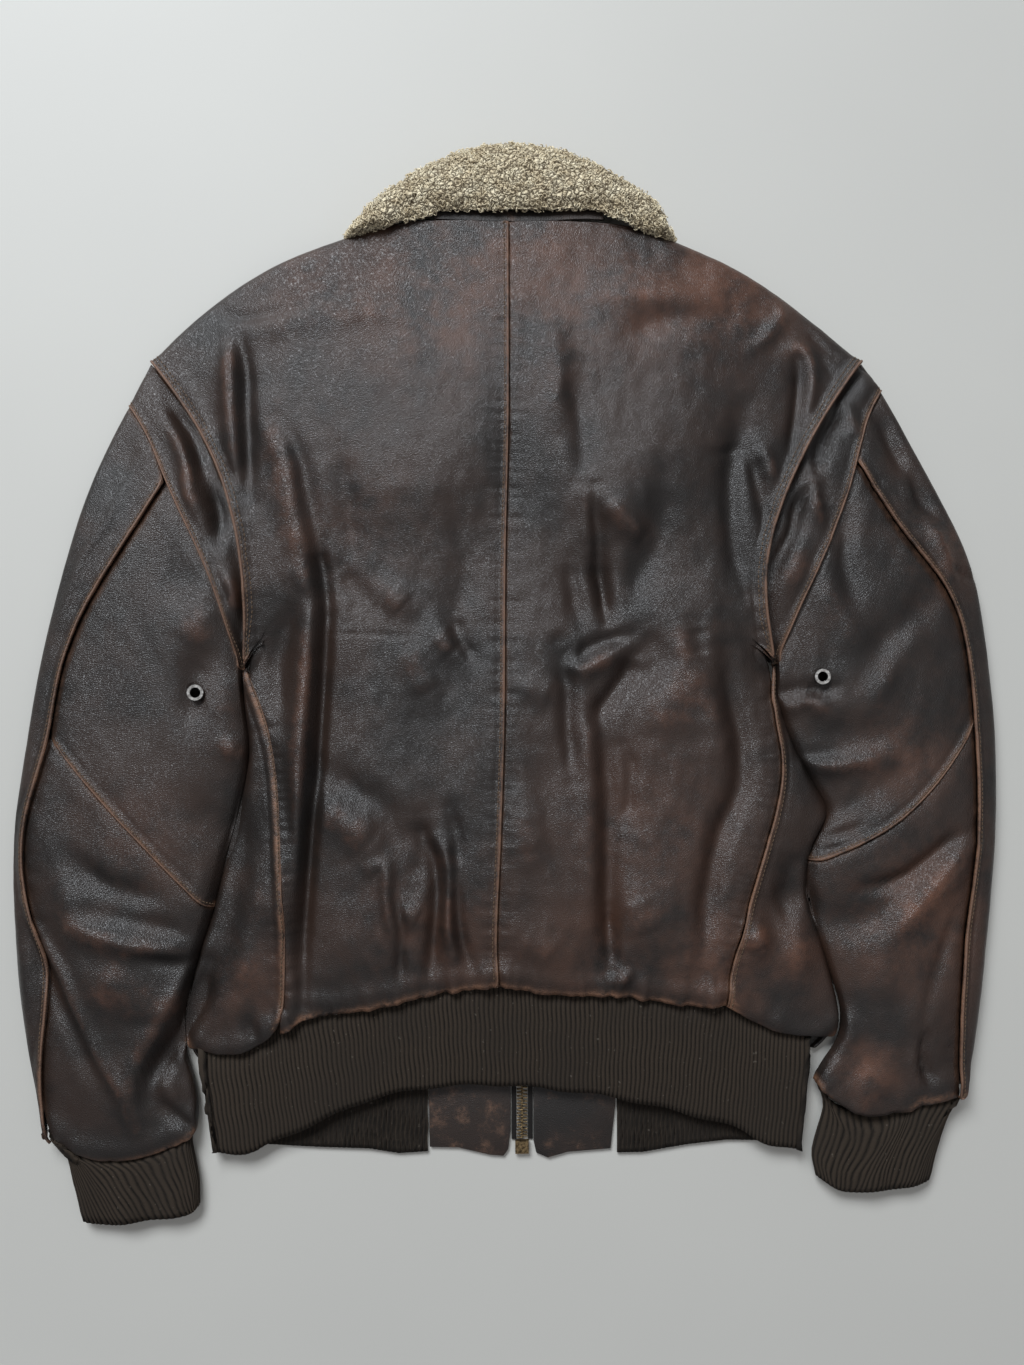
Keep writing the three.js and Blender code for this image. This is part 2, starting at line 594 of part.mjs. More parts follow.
function sleeveSides(s) {
  const armhole = side(s.armhole, ARMHOLE_CELLS, { fineStart: true, fineEnd: true });
  return {
    armhole,
    capTop: side(s.capTop, CAP_TOP_CELLS, { fineStart: true }),
    capLow: side(s.capLow, CAP_LOW_CELLS, { fineEnd: true }),
    pipeUpper: side(s.pipeUpper, PIPE_UPPER_CELLS),
    pipeLower: side(s.pipeLower, PIPE_LOWER_CELLS),
    diagonal: side(s.diagonal, CAP_LOW_CELLS, { fineEnd: true }),
    wrist: side(s.wrist, CAP_LOW_CELLS, { fineEnd: true }),
    innerUpper: asDrawn(s.innerUpper),
    innerLower: asDrawn(s.innerLower),
  };
}

function capPanel(s) {
  const lines = sleeveSides(s);
  const seam = joinSides(lines.capTop, lines.capLow);
  const armpit = [s.armhole[s.armhole.length - 1], s.capLow[s.capLow.length - 1]];
  return panel({
    top: side(s.edgeCap, 2, { rim: true }),
    bottom: side(armpit, 2, { rim: true }),
    start: lines.armhole,
    end: seam,
    layer: UPPER,
  });
}

function upperPanel(s) {
  const lines = sleeveSides(s);
  return panel({
    top: lines.capLow, bottom: lines.diagonal, start: lines.pipeUpper, end: lines.innerUpper, layer: UPPER,
  });
}

function forearmPanel(s) {
  const lines = sleeveSides(s);
  return panel({
    top: lines.diagonal, bottom: lines.wrist, start: lines.pipeLower, end: lines.innerLower, layer: UPPER,
  });
}

function outerPanel(s) {
  const lines = sleeveSides(s);
  return panel({
    top: side(s.capTop, STRIP_CELLS, { fineStart: true }),
    bottom: side(s.wristStrip, STRIP_CELLS),
    start: joinSides(side(s.edgeUpper, PIPE_UPPER_CELLS, { rim: true }),
      side(s.edgeLower, PIPE_LOWER_CELLS, { rim: true })),
    end: joinSides(lines.pipeUpper, lines.pipeLower),
    layer: UPPER,
  });
}

function underPanel(s) {
  const armhole = side(s.armhole, ARMHOLE_CELLS, { fineStart: true, fineEnd: true });
  const armpit = armhole[ARMHOLE_CELLS];
  const inner = asDrawn([...s.innerUpper, ...s.innerLower.slice(1)]);
  const end = joinSides(armhole, [armpit, ...inner.slice(1)]);
  return panel({
    top: side([...s.edgeCap].reverse(), UNDER_CELLS, { rim: true }),
    bottom: side([...s.wristStrip, ...s.wrist.slice(1)], UNDER_CELLS, { fineStart: true, fineEnd: true }),
    start: joinSides(side(s.edgeUpper, UNDER_UPPER_CELLS, { rim: true }),
      side(s.edgeLower, end.length - 1 - UNDER_UPPER_CELLS, { rim: true })),
    end,
    layer: LOWER,
  });
}

// A cuff is a flattened tube of knit, open at the wrist and at the sleeve.
function cuff(s) {
  const CUFF_HALF = 6.4;
  const AROUND = 18;
  const ALONG = 4;
  const wristLine = smoothLine([...s.wristStrip, ...s.wrist.slice(1)]);
  const endLine = smoothLine(s.cuff.end);
  const outerLine = smoothLine(s.cuff.outer);
  const innerLine = smoothLine(s.cuff.inner);
  const pick = (line, t) => {
    const k = Math.min(line.length - 1.001, t * (line.length - 1));
    return lerpPoint(line[Math.floor(k)], line[Math.floor(k) + 1], k % 1);
  };
  const across = (t, u) => {
    const from = pick(outerLine, t);
    const to = pick(innerLine, t);
    const seam = pick(wristLine, u);
    const end = pick(endLine, u);
    const seamStraight = lerpPoint(pick(wristLine, 0), pick(wristLine, 1), u);
    const endStraight = lerpPoint(pick(endLine, 0), pick(endLine, 1), u);
    const bow = [0, 1].map((k) => lerp(seam[k] - seamStraight[k], end[k] - endStraight[k], t));
    const drop = SEAM_GAP + 0.5;
    const [x, y] = lerpPoint(from, to, u);
    return [x + bow[0], y + bow[1] - drop * (1 - t)];
  };
  const ring = (t, wall) => Array.from({ length: AROUND }, (_, k) => {
    const angle = (2 * Math.PI * k) / AROUND;
    const width = distance(across(t, 0), across(t, 1));
    const half = CUFF_HALF - wall;
    const u = lerp(wall / width, 1 - wall / width, (1 - Math.cos(angle)) / 2);
    const [x, y] = across(t, u);
    const swell = Math.sign(Math.sin(angle)) * Math.abs(Math.sin(angle)) ** 0.6;
    return [x, y, CUFF_HALF + half * swell];
  });
  const steps = Array.from({ length: ALONG + 1 }, (_, k) => k / ALONG);
  const outside = steps.map((t) => ring(t, 0));
  const inside = steps.map((t) => ring(t, KNIT)).reverse();
  const loops = [...outside, ...inside];
  const at = (i, j) => (i % loops.length) * AROUND + (j % AROUND);
  const faces = [];
  for (let i = 0; i < loops.length; i += 1) {
    for (let j = 0; j < AROUND; j += 1) {
      faces.push(...quad(at(i, j), at(i, j + 1), at(i + 1, j + 1), at(i + 1, j)));
    }
  }
  return solid(loops.flat(), faces);
}

// ---------- waistband: one strip of knit from the left tab, round the back, to the right tab ----
function waistband() {
  const fold = 7.2;
  const FOLD_OUT = 0.9;
  const FOLD_RISE = 0.92;
  const LOWER_EDGE_RISE = 0.96;
  const FOLD_TURNS = [0.25, 0.5, 0.75];
  const FLAT = [0, 0, 0];
  const BACK_HEIGHTS = [13.4, 14.2, 12.2];
  const backTop = smoothLine([
    [-236, -284.5], [-222, -286], [-204, -283], [-190, -277], [-177, -265], [-157, -252.5], [-132, -251],
    [-89, -242.5], [-51, -235.5], [-14, -231.5], [14, -236.5], [40, -240.5], [69, -239.5], [98, -244.5],
    [128, -248.5], [148, -250.5], [159, -248.5], [171, -259.5], [188, -269.5], [206, -277.5],
    [224, -282.5]]);
  const backBottom = smoothLine([
    [-225, -354], [-200, -355], [-183, -348], [-141, -330], [-111, -318], [-79, -311], [-48, -308],
    [-3, -309], [32, -313], [73, -319], [111, -328], [144, -337], [170, -345], [192, -357], [216, -362]]);
  const frontBottomLeft = [[-68, -360], [-89, -361], [-112, -357], [-150, -355], [-190, -352], [-222, -354]];
  const frontBottomRight = [[77.3, -364], [97, -364], [130, -359], [162, -356], [190, -357], [214, -360]];
  const frontTop = FRONT_HEM - SEAM_GAP * 2;
  const across = [];
  const station = (top, bottom, z, face) => across.push({ top, bottom, z, face });
  frontBottomLeft.forEach(([x, y]) => station([x, frontTop], [x, y], FLAT, [0, -1]));
  for (const turn of FOLD_TURNS) {
    const angle = Math.PI * turn;
    const out = fold * Math.sin(angle) * FOLD_OUT;
    const level = fold * (1 - Math.cos(angle)) * FOLD_RISE;
    station([-230 - out, frontTop - 0.6 + 2 * turn ** 3], [-222.5 - out * 0.7, -354],
      [level, level, level * LOWER_EDGE_RISE], [-Math.sin(angle), -Math.cos(angle)]);
  }
  const backCells = 18;
  for (let k = 0; k <= backCells; k += 1) {
    const pick = (line) => line[Math.round((k / backCells) * (line.length - 1))];
    station(pick(backTop), pick(backBottom), BACK_HEIGHTS, [0, 1]);
  }
  for (const turn of [...FOLD_TURNS].reverse()) {
    const angle = Math.PI * turn;
    const out = fold * Math.sin(angle) * FOLD_OUT;
    const level = fold * (1 - Math.cos(angle)) * FOLD_RISE;
    station([219.5 + out, frontTop - 0.6 + 4 * turn ** 3], [213 + out * 0.7, -361],
      [level, level, level * LOWER_EDGE_RISE], [Math.sin(angle), -Math.cos(angle)]);
  }
  [...frontBottomRight].reverse().forEach(([x, y]) => station([x, frontTop], [x, y], FLAT, [0, -1]));
  const rings = across.map(({ top, bottom, z, face }) => {
    const middle = lerpPoint(top, bottom, 0.5);
    const line = [[...top, z[0]], [...middle, z[1]], [...bottom, z[2]]];
    const inner = line.map(([x, y, h]) => [x - face[0] * KNIT, y, h - face[1] * KNIT]);
    return [...line, ...inner.reverse()];
  });
  return ringSolid(rings);
}

// ---------- collar ----------
const FALL_SHARES = [0, 0.12, 0.35, 0.6, 0.85, 1];
const FALL_TOP = [[9, 11, 11, 11, 11, 8], [30, 38, 42, 42, 38, 28], [39.5, 44, 47, 45, 38, 24]];
const FALL_BOTTOM = [[2, 0, 0, 0, 0, 2], [20, 12, 3, 0, 0, 4], [38.2, 37.6, 24, 6, 0, 6]];

function collarFall() {
  const level = (table, stage, k) => {
    const low = Math.min(1, Math.floor(stage));
    return lerp(table[low][k], table[low + 1][k], stage - low);
  };
  return ringSolid(FALL.map(({ outer, inner, stage }) => {
    const point = (share, z) => [...lerpPoint(inner, outer, share), z];
    const upper = FALL_SHARES.map((share, k) => point(share, level(FALL_TOP, stage, k)));
    const lower = FALL_SHARES.map((share, k) => point(share, level(FALL_BOTTOM, stage, k)));
    return [...upper, ...lower.reverse()];
  }));
}

// The stand is the leather strip between the back neck seam and the fur.
function collarStand() {
  const neckLine = side([[-62, 339.6], [-30, 338.8], [-7, 338.8], [22, 339.8], [48, 341.8], [64, 341.6]], 10);
  const rows = [[0.0, 36.6], [5, 35.6], [13, 32.5]];
  const outside = rows.map(([up, z]) => neckLine.map((p) => [p.x, p.y + up, z]));
  const inside = rows.map(([up, z]) => neckLine.map((p) => [p.x, p.y + up, z - LEATHER]));
  return gridWall(outside, inside);
}

// ---------- zip and hem tabs ----------
const TAB_LEFT = [[-67.4, -290.6], [-66, -357], [-44, -358], [-20, -364], [-10, -365], [-6.4, -360],
  [-4.6, -345], [-4.4, -290.6]];
const TAB_RIGHT = [[13, -290.6], [13, -354], [15, -363], [24, -367], [39, -363], [72, -361],
  [75.8, -327], [76.6, -290.6]];

// A strip along the centre front that rises with the front over the collar's fur.
function frontStrip(from, to, bottom, thickness) {
  const RISING_HEIGHTS = [230, 212, 192, 170, 146, 120];
  const edge = [ZIP.top, ...RISING_HEIGHTS, bottom];
  const outside = edge.map((y) => [from, to].map((x) => [x, y, lift((from + to) / 2, y)]));
  const inside = outside.map((row) => row.map(([x, y, z]) => [x, y, z + thickness]));
  return gridWall(outside, inside);
}

// ---------- slider and pull tab at the top of the zip ----------
const PIVOT = [(ZIP.left + ZIP.right) / 2, 253.5, 4.6];
const PULL = { length: 30, width: 6.4, thick: 1.4, barrel: 1.5, hole: 0.95, slope: -4 };

function cylinderX(radius, from, to, y, z) {
  const geometry = new THREE.CylinderGeometry(radius, radius, to - from, 20);
  geometry.rotateZ(Math.PI / 2);
  geometry.translate((from + to) / 2, y, z);
  return geometry;
}

function slider() {
  const [x, y, z] = PIVOT;
  const body = box([x - 5.6, ZIP.top + 0.6, z + 2.2], [x + 5.6, ZIP.top + 13, z + 9]);
  const ears = [[-4.8, -3.5], [3.5, 4.8]]
    .map(([a, b]) => box([x + a, y - 1.8, z - 1.3], [x + b, y + 1.8, z + 2.6]));
  const pin = cylinderX(0.6, x - 4, x + 4, y, z);
  const channel = box([x - 4.4, ZIP.top, z + 4.2], [x + 4.4, ZIP.top + 20, z + 7]);
  const whole = [...ears, pin].reduce((sum, piece) => sum.add(toManifold(piece)), toManifold(body));
  return fromManifold(whole.subtract(toManifold(channel)));
}

function pullTab() {
  const [x, y, z] = PIVOT;
  const half = PULL.width / 2;
  const plate = box([x - half, y - PULL.length, z - PULL.thick / 2], [x + half, y, z + PULL.thick / 2]);
  const barrel = cylinderX(PULL.barrel, x - half, x + half, y, z);
  const bore = cylinderX(PULL.hole, x - half - 1, x + half + 1, y, z);
  const slot = box([x - 1.4, y - PULL.length + 3, z - 3], [x + 1.4, y - PULL.length + 16, z + 3]);
  const solidPull = toManifold(plate).add(toManifold(barrel));
  const geometry = fromManifold(solidPull.subtract(toManifold(bore)).subtract(toManifold(slot)));
  geometry.translate(-x, -y, -z);
  geometry.rotateX(THREE.MathUtils.degToRad(-PULL.slope));
  geometry.translate(x, y, z);
  return geometry;
}

// ---------- eyelets ----------
function placedOn([x, y], geometry) {
  const normal = surfaceNormal(UPPER, x, y);
  geometry.applyQuaternion(new THREE.Quaternion().setFromUnitVectors(new THREE.Vector3(0, 0, 1), normal));
  geometry.translate(x, y, upperHeight(x, y));
  return geometry;
}

function eyelet(at) {
  const { hole, barrel, flange, thick, depth } = EYELET;
  const RIM_LIFT = 0.8;
  const profile = [[hole, -depth], [barrel, -depth], [barrel, RIM_LIFT], [flange, RIM_LIFT],
    [flange - 0.3, RIM_LIFT + thick], [hole, RIM_LIFT + thick], [hole, -depth]];
  const ring = new THREE.LatheGeometry(profile.map(([r, z]) => new THREE.Vector2(r, z)), 16);
  ring.rotateX(Math.PI / 2);
  return outward(mergeVertices(bareOf(placedOn(at, ring)), 1e-4));
}

function bareOf(geometry) {
  geometry.deleteAttribute('normal');
  geometry.deleteAttribute('uv');
  return geometry;
}

function withEyeletHole(geometry, at) {
  const drill = new THREE.CylinderGeometry(EYELET.cut, EYELET.cut, 16, 24);
  drill.rotateX(Math.PI / 2);
  return fromManifold(toManifold(geometry).subtract(toManifold(placedOn(at, drill))));
}

// ---------- the jacket ----------
for (const s of SIDES) {
  add(`back_${s.name}`, backPanel(s), leatherWorn);
  add(`side_${s.name}`, sidePanel(s), leather);
  add(`front_${s.name}`, frontPanel(s), leather);
  add(`sleeve_cap_${s.name}`, capPanel(s), leather);
  add(`sleeve_upper_${s.name}`, withEyeletHole(upperPanel(s), s.eyelet), leather);
  add(`sleeve_forearm_${s.name}`, forearmPanel(s), leatherWorn);
  add(`sleeve_outer_${s.name}`, outerPanel(s), leather);
  add(`sleeve_under_${s.name}`, underPanel(s), leather);
  add(`cuff_${s.name}`, cuff(s), knit);
  add(`eyelet_${s.name}`, eyelet(s.eyelet), steel);
}
add('waistband', waistband(), knit);
add('collar_fall', collarFall(), fur);
add('collar_stand', collarStand(), leather);
add('hem_tab_left', extruded(TAB_LEFT, 0, TAB), leather);
add('hem_tab_right', extruded(TAB_RIGHT, 0, TAB), leather);
add('zip_tape_left', frontStrip(ZIP.left - SEAM_GAP - 3.6, ZIP.left - SEAM_GAP, ZIP.bottom, 1.2), tape);
add('zip_tape_right', frontStrip(ZIP.right + SEAM_GAP, ZIP.right + ZIP.tape, ZIP.bottom, 1.2), tape);
add('zip_chain', frontStrip(ZIP.left, ZIP.right, ZIP.bottom, ZIP.thick), brass);
add('zip_box', box([-1, -363, 0], [9.2, ZIP.bottom - SEAM_GAP, 4]), brass);
add('zip_slider', slider(), brass);
add('zip_pull', pullTab(), brass);

export default jacket;
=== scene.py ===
import math

import bmesh
import bpy
import numpy as np
from mathutils import Matrix, Vector, noise
from mathutils.bvhtree import BVHTree
from mathutils.kdtree import KDTree


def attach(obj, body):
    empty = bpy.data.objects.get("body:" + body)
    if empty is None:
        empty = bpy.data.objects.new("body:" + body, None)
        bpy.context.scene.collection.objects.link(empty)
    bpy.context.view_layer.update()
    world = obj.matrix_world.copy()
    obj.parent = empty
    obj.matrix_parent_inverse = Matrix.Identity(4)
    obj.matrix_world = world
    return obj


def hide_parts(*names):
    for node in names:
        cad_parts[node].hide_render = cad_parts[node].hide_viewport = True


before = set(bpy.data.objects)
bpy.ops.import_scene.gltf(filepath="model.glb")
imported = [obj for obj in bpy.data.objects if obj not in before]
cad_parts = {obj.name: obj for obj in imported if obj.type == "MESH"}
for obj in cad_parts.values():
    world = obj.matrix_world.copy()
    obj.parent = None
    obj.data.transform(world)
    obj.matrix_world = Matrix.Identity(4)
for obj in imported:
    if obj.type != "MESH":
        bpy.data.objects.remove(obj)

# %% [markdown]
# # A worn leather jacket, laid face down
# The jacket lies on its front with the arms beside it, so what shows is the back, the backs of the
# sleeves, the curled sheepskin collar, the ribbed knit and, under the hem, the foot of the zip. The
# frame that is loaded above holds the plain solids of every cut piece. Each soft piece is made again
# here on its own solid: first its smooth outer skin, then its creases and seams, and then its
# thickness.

MM = 0.001
PER_METRE = 1000  # millimetres
UP = Vector((0, 0, 1))
LEATHER_THICKNESS = 1.6 * MM
KNIT_THICKNESS = 2.4 * MM
bpy.context.view_layer.update()


def link(name, data):
    """Puts a mesh, curve, camera or light in the scene as an object at the origin."""
    piece = bpy.data.objects.new(name, data)
    bpy.context.scene.collection.objects.link(piece)
    return piece


def opened(mesh):
    """A bmesh of a mesh."""
    bm = bmesh.new()
    bm.from_mesh(mesh)
    return bm


def written(bm, mesh):
    """Writes a bmesh into a mesh and lets it go."""
    bm.to_mesh(mesh)
    bm.free()
    return mesh


def shaded(mesh, soft=True):
    """Shades every face of a mesh soft or flat."""
    mesh.polygons.foreach_set("use_smooth", np.full(len(mesh.polygons), soft))


def keep_value(mesh, label, values):
    """Keeps a number on each point of a mesh, for its material."""
    attribute = mesh.attributes.new(label, "FLOAT", "POINT")
    attribute.data.foreach_set("value", values.astype(np.float32))

# %% [markdown]
# ## The camera
# The jacket is seen from almost straight above, at 0.79 m, a little to the left and below its middle,
# and the camera is tipped by under three degrees. Its axes are worked out from the way it looks.

# %% Camera
camera_data = bpy.data.cameras.new("overhead_camera")
camera_data.lens = 27.03
camera_data.sensor_width = 36
camera = link("overhead_camera", camera_data)
looks = Vector((0.0466, 0.0229, -1)).normalized()
across = (Vector((1, 0, 0)) - looks * looks.x).normalized()
upward = across.cross(looks)
turn = Matrix((across, upward, -looks)).transposed().to_4x4()
camera.matrix_world = Matrix.Translation(Vector((-39.9, -22.1, 791)) * MM) @ turn
bpy.context.scene.camera = camera

# %% [markdown]
# ## Floor and light
# A plain pale floor, and the soft light of a room with one large window: a broad cool lamp high on the
# window side gives the dark leather its bluish sheen, and a wide dim one overhead fills the shadows.

# %% Floor and lamps
FLOOR_GAP = 0.4 * MM  # keeps the floor clear of what lies on it
bm = bmesh.new()
bmesh.ops.create_grid(bm, x_segments=1, y_segments=1, size=3)
bmesh.ops.translate(bm, vec=(0, 0, -FLOOR_GAP), verts=bm.verts)
floor = link("floor", written(bm, bpy.data.meshes.new("floor")))


def lamp(name, place, aim, size, watts, colour):
    """A rectangular area lamp at place, in metres, that points at aim."""
    data = bpy.data.lights.new(name, "AREA")
    data.shape = "RECTANGLE"
    data.size, data.size_y = size
    data.energy = watts
    data.color = colour
    made = link(name, data)
    made.location = place
    made.rotation_mode = "QUATERNION"
    made.rotation_quaternion = (Vector(aim) - Vector(place)).to_track_quat("-Z", "Y")


lamp("window", (-1.3, 2.65, 2.65), (0, -0.05, 0), (2.1, 1.5), 205, (0.90, 0.95, 1.0))
lamp("ceiling", (0.5, -0.5, 2.3), (0, 0, 0), (2.6, 2.6), 9, (1.0, 0.98, 0.95))
world = bpy.data.worlds.new("room")
world.use_nodes = True
world.node_tree.nodes["Background"].inputs["Color"].default_value = (0.90, 0.93, 1.0, 1)
world.node_tree.nodes["Background"].inputs["Strength"].default_value = 0.24
bpy.context.scene.world = world
bpy.context.scene.view_settings.view_transform = "Standard"

# %% [markdown]
# ## A way to write materials
# A material is a net of nodes. Two small classes make it read like sums: one wraps a socket, so that
# relief * 2 adds a Math node, and the other adds any node from its type, its settings and its sockets.

# %% Sockets as sums
class Value:
    """A socket that carries a number or a colour."""

    def __init__(self, paint, socket):
        self.paint, self.socket = paint, socket

    def maths(self, operation, other, clamp=False):
        return self.paint.node("Math", {"operation": operation, "use_clamp": clamp}, {0: self, 1: other})

    def __add__(self, other):
        return self.maths("ADD", other)

    def __sub__(self, other):
        return self.maths("SUBTRACT", other)

    def __mul__(self, other):
        return self.maths("MULTIPLY", other)

    __radd__, __rmul__ = __add__, __mul__

    def clamped(self):
        return self.maths("MULTIPLY", 1.0, clamp=True)


class Paint:
    """A material and its nodes."""

    def __init__(self, name):
        self.material = bpy.data.materials.new(name)
        self.material.use_nodes = True
        self.tree = self.material.node_tree
        self.shader = self.tree.nodes["Principled BSDF"]

    def node(self, kind, settings, sockets, output=0):
        """Adds one node: its settings first, then its sockets, and gives back one output."""
        made = self.tree.nodes.new("ShaderNode" + kind)
        for name, value in settings.items():
            setattr(made, name, value)
        self.feed(made, sockets)
        return Value(self, made.outputs[output])

    def feed(self, made, sockets):
        """Links or sets a node's sockets. A colour is given as three numbers."""
        for name, value in sockets.items():
            socket = made.inputs[name]
            if isinstance(value, Value):
                self.tree.links.new(value.socket, socket)
            elif socket.type == "RGBA":
                socket.default_value = (*value, 1)
            else:
                socket.default_value = value

    def finish(self, **sockets):
        """Feeds the shader's own sockets and gives back the material."""
        self.feed(self.shader, {name.replace("_", " "): value for name, value in sockets.items()})
        return self.material

    def place(self):
        return self.node("TexCoord", {}, {}, "Object")

    def kept_value(self, label):
        return self.node("Attribute", {"attribute_name": label}, {}, "Fac")

    def noise(self, scale, detail=3.0, rough=0.55):
        return self.node("TexNoise", {}, {"Vector": self.place(), "Scale": scale, "Detail": detail,
                                          "Roughness": rough})

    def step(self, value, low, high):
        """0 where value is under low, 1 where it is over high, and a soft change between."""
        return self.node("MapRange", {"interpolation_type": "SMOOTHSTEP"},
                         {"Value": value, "From Min": low, "From Max": high})

    def cells(self, place, scale):
        """The distance to the nearest border between irregular cells."""
        return self.node("TexVoronoi", {"feature": "DISTANCE_TO_EDGE"}, {"Vector": place, "Scale": scale},
                         "Distance")

    def mix(self, factor, first, second):
        """A mix of two colours."""
        return self.node("Mix", {"data_type": "RGBA"}, {0: factor, 6: first, 7: second}, output=2)

    def bump(self, height, strength, distance):
        return self.node("Bump", {}, {"Height": height, "Strength": strength, "Distance": distance})

# %% Floor finish
paint = Paint("floor_finish")
pale = paint.mix(paint.noise(3.0), (0.475, 0.465, 0.435), (0.515, 0.505, 0.47))
floor.data.materials.append(paint.finish(Base_Color=pale, Roughness=0.6))

# %% [markdown]
# ## Leather panels: the smooth skins
# A jacket like this is cut from about twenty pieces of hide. Each solid of the frame is a closed wall,
# so its outer skin is taken off first: from one face that looks straight up (or down, on the side that
# lies on the floor) it spreads over every neighbour that bends only a little, and stops at the cut
# edge. The triangles are joined back to four-sided faces and a Subdivision Surface rounds them.
# Neighbours share their seam points, so they still meet after the rounding.

# %% Take the outer skin of a solid
# The levels of rounding for each kind of panel.
ON_TOP = {"back": 4, "side": 3, "sleeve_cap": 3, "sleeve_upper": 3, "sleeve_forearm": 3, "sleeve_outer": 3}
UNDERNEATH = {"front": 1, "sleeve_under": 1}
SIDES = ("left", "right")
top_panels = [f"{part}_{side}" for part in ON_TOP for side in SIDES]
SAME_SIDE = math.radians(55)  # neighbouring faces that bend less than this are one side of a wall
MERGED = 1e-6


def settle(piece):
    """Makes a piece's modifiers part of its mesh."""
    graph = bpy.context.evaluated_depsgraph_get()
    done = bpy.data.meshes.new_from_object(piece.evaluated_get(graph))
    piece.modifiers.clear()
    old, piece.data = piece.data, done
    bpy.data.meshes.remove(old)


def rounded(piece, levels):
    """Rounds a piece with a Subdivision Surface."""
    rounding = piece.modifiers.new("rounding", "SUBSURF")
    rounding.levels = rounding.render_levels = levels
    rounding.boundary_smooth = "PRESERVE_CORNERS"
    settle(piece)


def solid_of(node):
    """A bmesh of a solid of the frame, its shared points merged."""
    bm = opened(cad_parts[node].data)
    bmesh.ops.remove_doubles(bm, verts=bm.verts, dist=MERGED)
    return bm


def outer_skin(node, up, levels):
    """A new object: the smoothed outer skin of a solid. up is 1 for a piece on top and -1 underneath."""
    bm = solid_of(node)
    found = {max(bm.faces, key=lambda face: up * face.normal.z * face.calc_area() ** 0.2)}
    edge = list(found)
    while edge:
        face = edge.pop()
        for side in face.edges:
            for other in side.link_faces:
                if other not in found and face.normal.angle(other.normal) < SAME_SIDE:
                    found.add(other)
                    edge.append(other)
    bmesh.ops.delete(bm, geom=[face for face in bm.faces if face not in found], context="FACES")
    bmesh.ops.join_triangles(bm, faces=bm.faces, angle_face_threshold=1.2, angle_shape_threshold=3.1)
    piece = link("leather_" + node, written(bm, bpy.data.meshes.new(node)))
    rounded(piece, levels)
    return piece


def rows_of(piece, what):
    """The places (co) or the directions (normal) of a piece's points, as rows of x, y, z."""
    flat = np.empty(len(piece.data.vertices) * 3)
    piece.data.vertices.foreach_get(what, flat)
    return flat.reshape(-1, 3)


def points_of(piece):
    """A piece's points as rows of x, y, z in millimetres."""
    return rows_of(piece, "co") * PER_METRE


def put_points(piece, points):
    piece.data.vertices.foreach_set("co", (points * MM).ravel())
    piece.data.update()


panels = {}
for kinds, up in ((ON_TOP, 1), (UNDERNEATH, -1)):
    for part, levels in kinds.items():
        for side in SIDES:
            panels[f"{part}_{side}"] = outer_skin(f"{part}_{side}", up, levels)
print("faces of each skin", {name: len(piece.data.polygons) for name, piece in panels.items()})

# %% [markdown]
# ## Where two panels meet
# The seams are found, not drawn: the rim of one panel is walked round in order, and the stretch of it
# that runs beside another panel's rim is their seam. Each point also remembers which way its own panel
# lies.

# %% Rims and seams
def walk_rim(piece):
    """The points of a skin's longest rim in order, and the way into the panel from each."""
    bm = opened(piece.data)
    bm.verts.ensure_lookup_table()
    left = {e.index: [v.index for v in e.verts] for e in bm.edges if e.is_boundary}
    meets = {}
    for edge, ends in left.items():
        for end in ends:
            meets.setdefault(end, []).append(edge)
    loop, longest = [], 0.0
    while left:
        edge, ends = next(iter(left.items()))
        walked, here = [ends[0]], ends[0]
        while edge is not None:
            a, b = left.pop(edge)
            here = b if here == a else a
            walked.append(here)
            edge = next((other for other in meets[here] if other in left), None)
        length = sum((bm.verts[a].co - bm.verts[b].co).length for a, b in zip(walked[1:], walked))
        if length > longest:
            loop, longest = walked[:-1], length
    inward = []
    for index in loop:
        vert = bm.verts[index]
        inner = [e.other_vert(vert).co for e in vert.link_edges if not e.is_boundary]
        way = sum((co - vert.co for co in inner), Vector((0, 0, 0)))
        inward.append(way.xy.normalized())
    bm.free()
    return np.array(loop), np.array([tuple(way) for way in inward])


rest = {name: points_of(piece) for name, piece in panels.items()}
rims = {name: walk_rim(panels[name]) for name in top_panels}
BESIDE = 5.0  # millimetres between two rims that are sewn together


def nearest_of(spots):
    """A tree that finds the nearest of many places."""
    tree = KDTree(len(spots))
    for k, spot in enumerate(spots):
        tree.insert(spot, k)
    tree.balance()
    return tree


def seam_between(over, unders):
    """Rows of a panel's rim loop that run beside the other panels, as one unbroken stretch."""
    loop = rims[over][0]
    spots = [rest[under][index] for under in unders for index in rims[under][0]]
    near = nearest_of(spots)
    close = [near.find(rest[over][index])[2] < BESIDE for index in loop]
    best, size = [], len(loop)
    for first in range(size):
        if close[first] and not close[first - 1]:
            run = first
            while close[run % size] and run - first < size:
                run += 1
            if run - first > len(best):
                best = [k % size for k in range(first, run)]
    return np.array(best, int)


# Each seam: the panel whose edge is on top, and the panels under it.
SEAMS = {"centre": ("back_left", ["back_right"])}
for side in SIDES:
    SEAMS[f"armhole_{side}"] = (f"back_{side}", [f"sleeve_cap_{side}"])
    SEAMS[f"flank_{side}"] = (f"side_{side}", [f"back_{side}"])
    SEAMS[f"cap_{side}"] = (f"sleeve_cap_{side}", [f"sleeve_upper_{side}", f"sleeve_outer_{side}"])
    SEAMS[f"long_{side}"] = (f"sleeve_outer_{side}", [f"sleeve_upper_{side}", f"sleeve_forearm_{side}"])
    SEAMS[f"elbow_{side}"] = (f"sleeve_upper_{side}", [f"sleeve_forearm_{side}"])
seam_rows = {name: seam_between(*pair) for name, pair in SEAMS.items()}
print("seam points", {name: len(rows) for name, rows in seam_rows.items()})

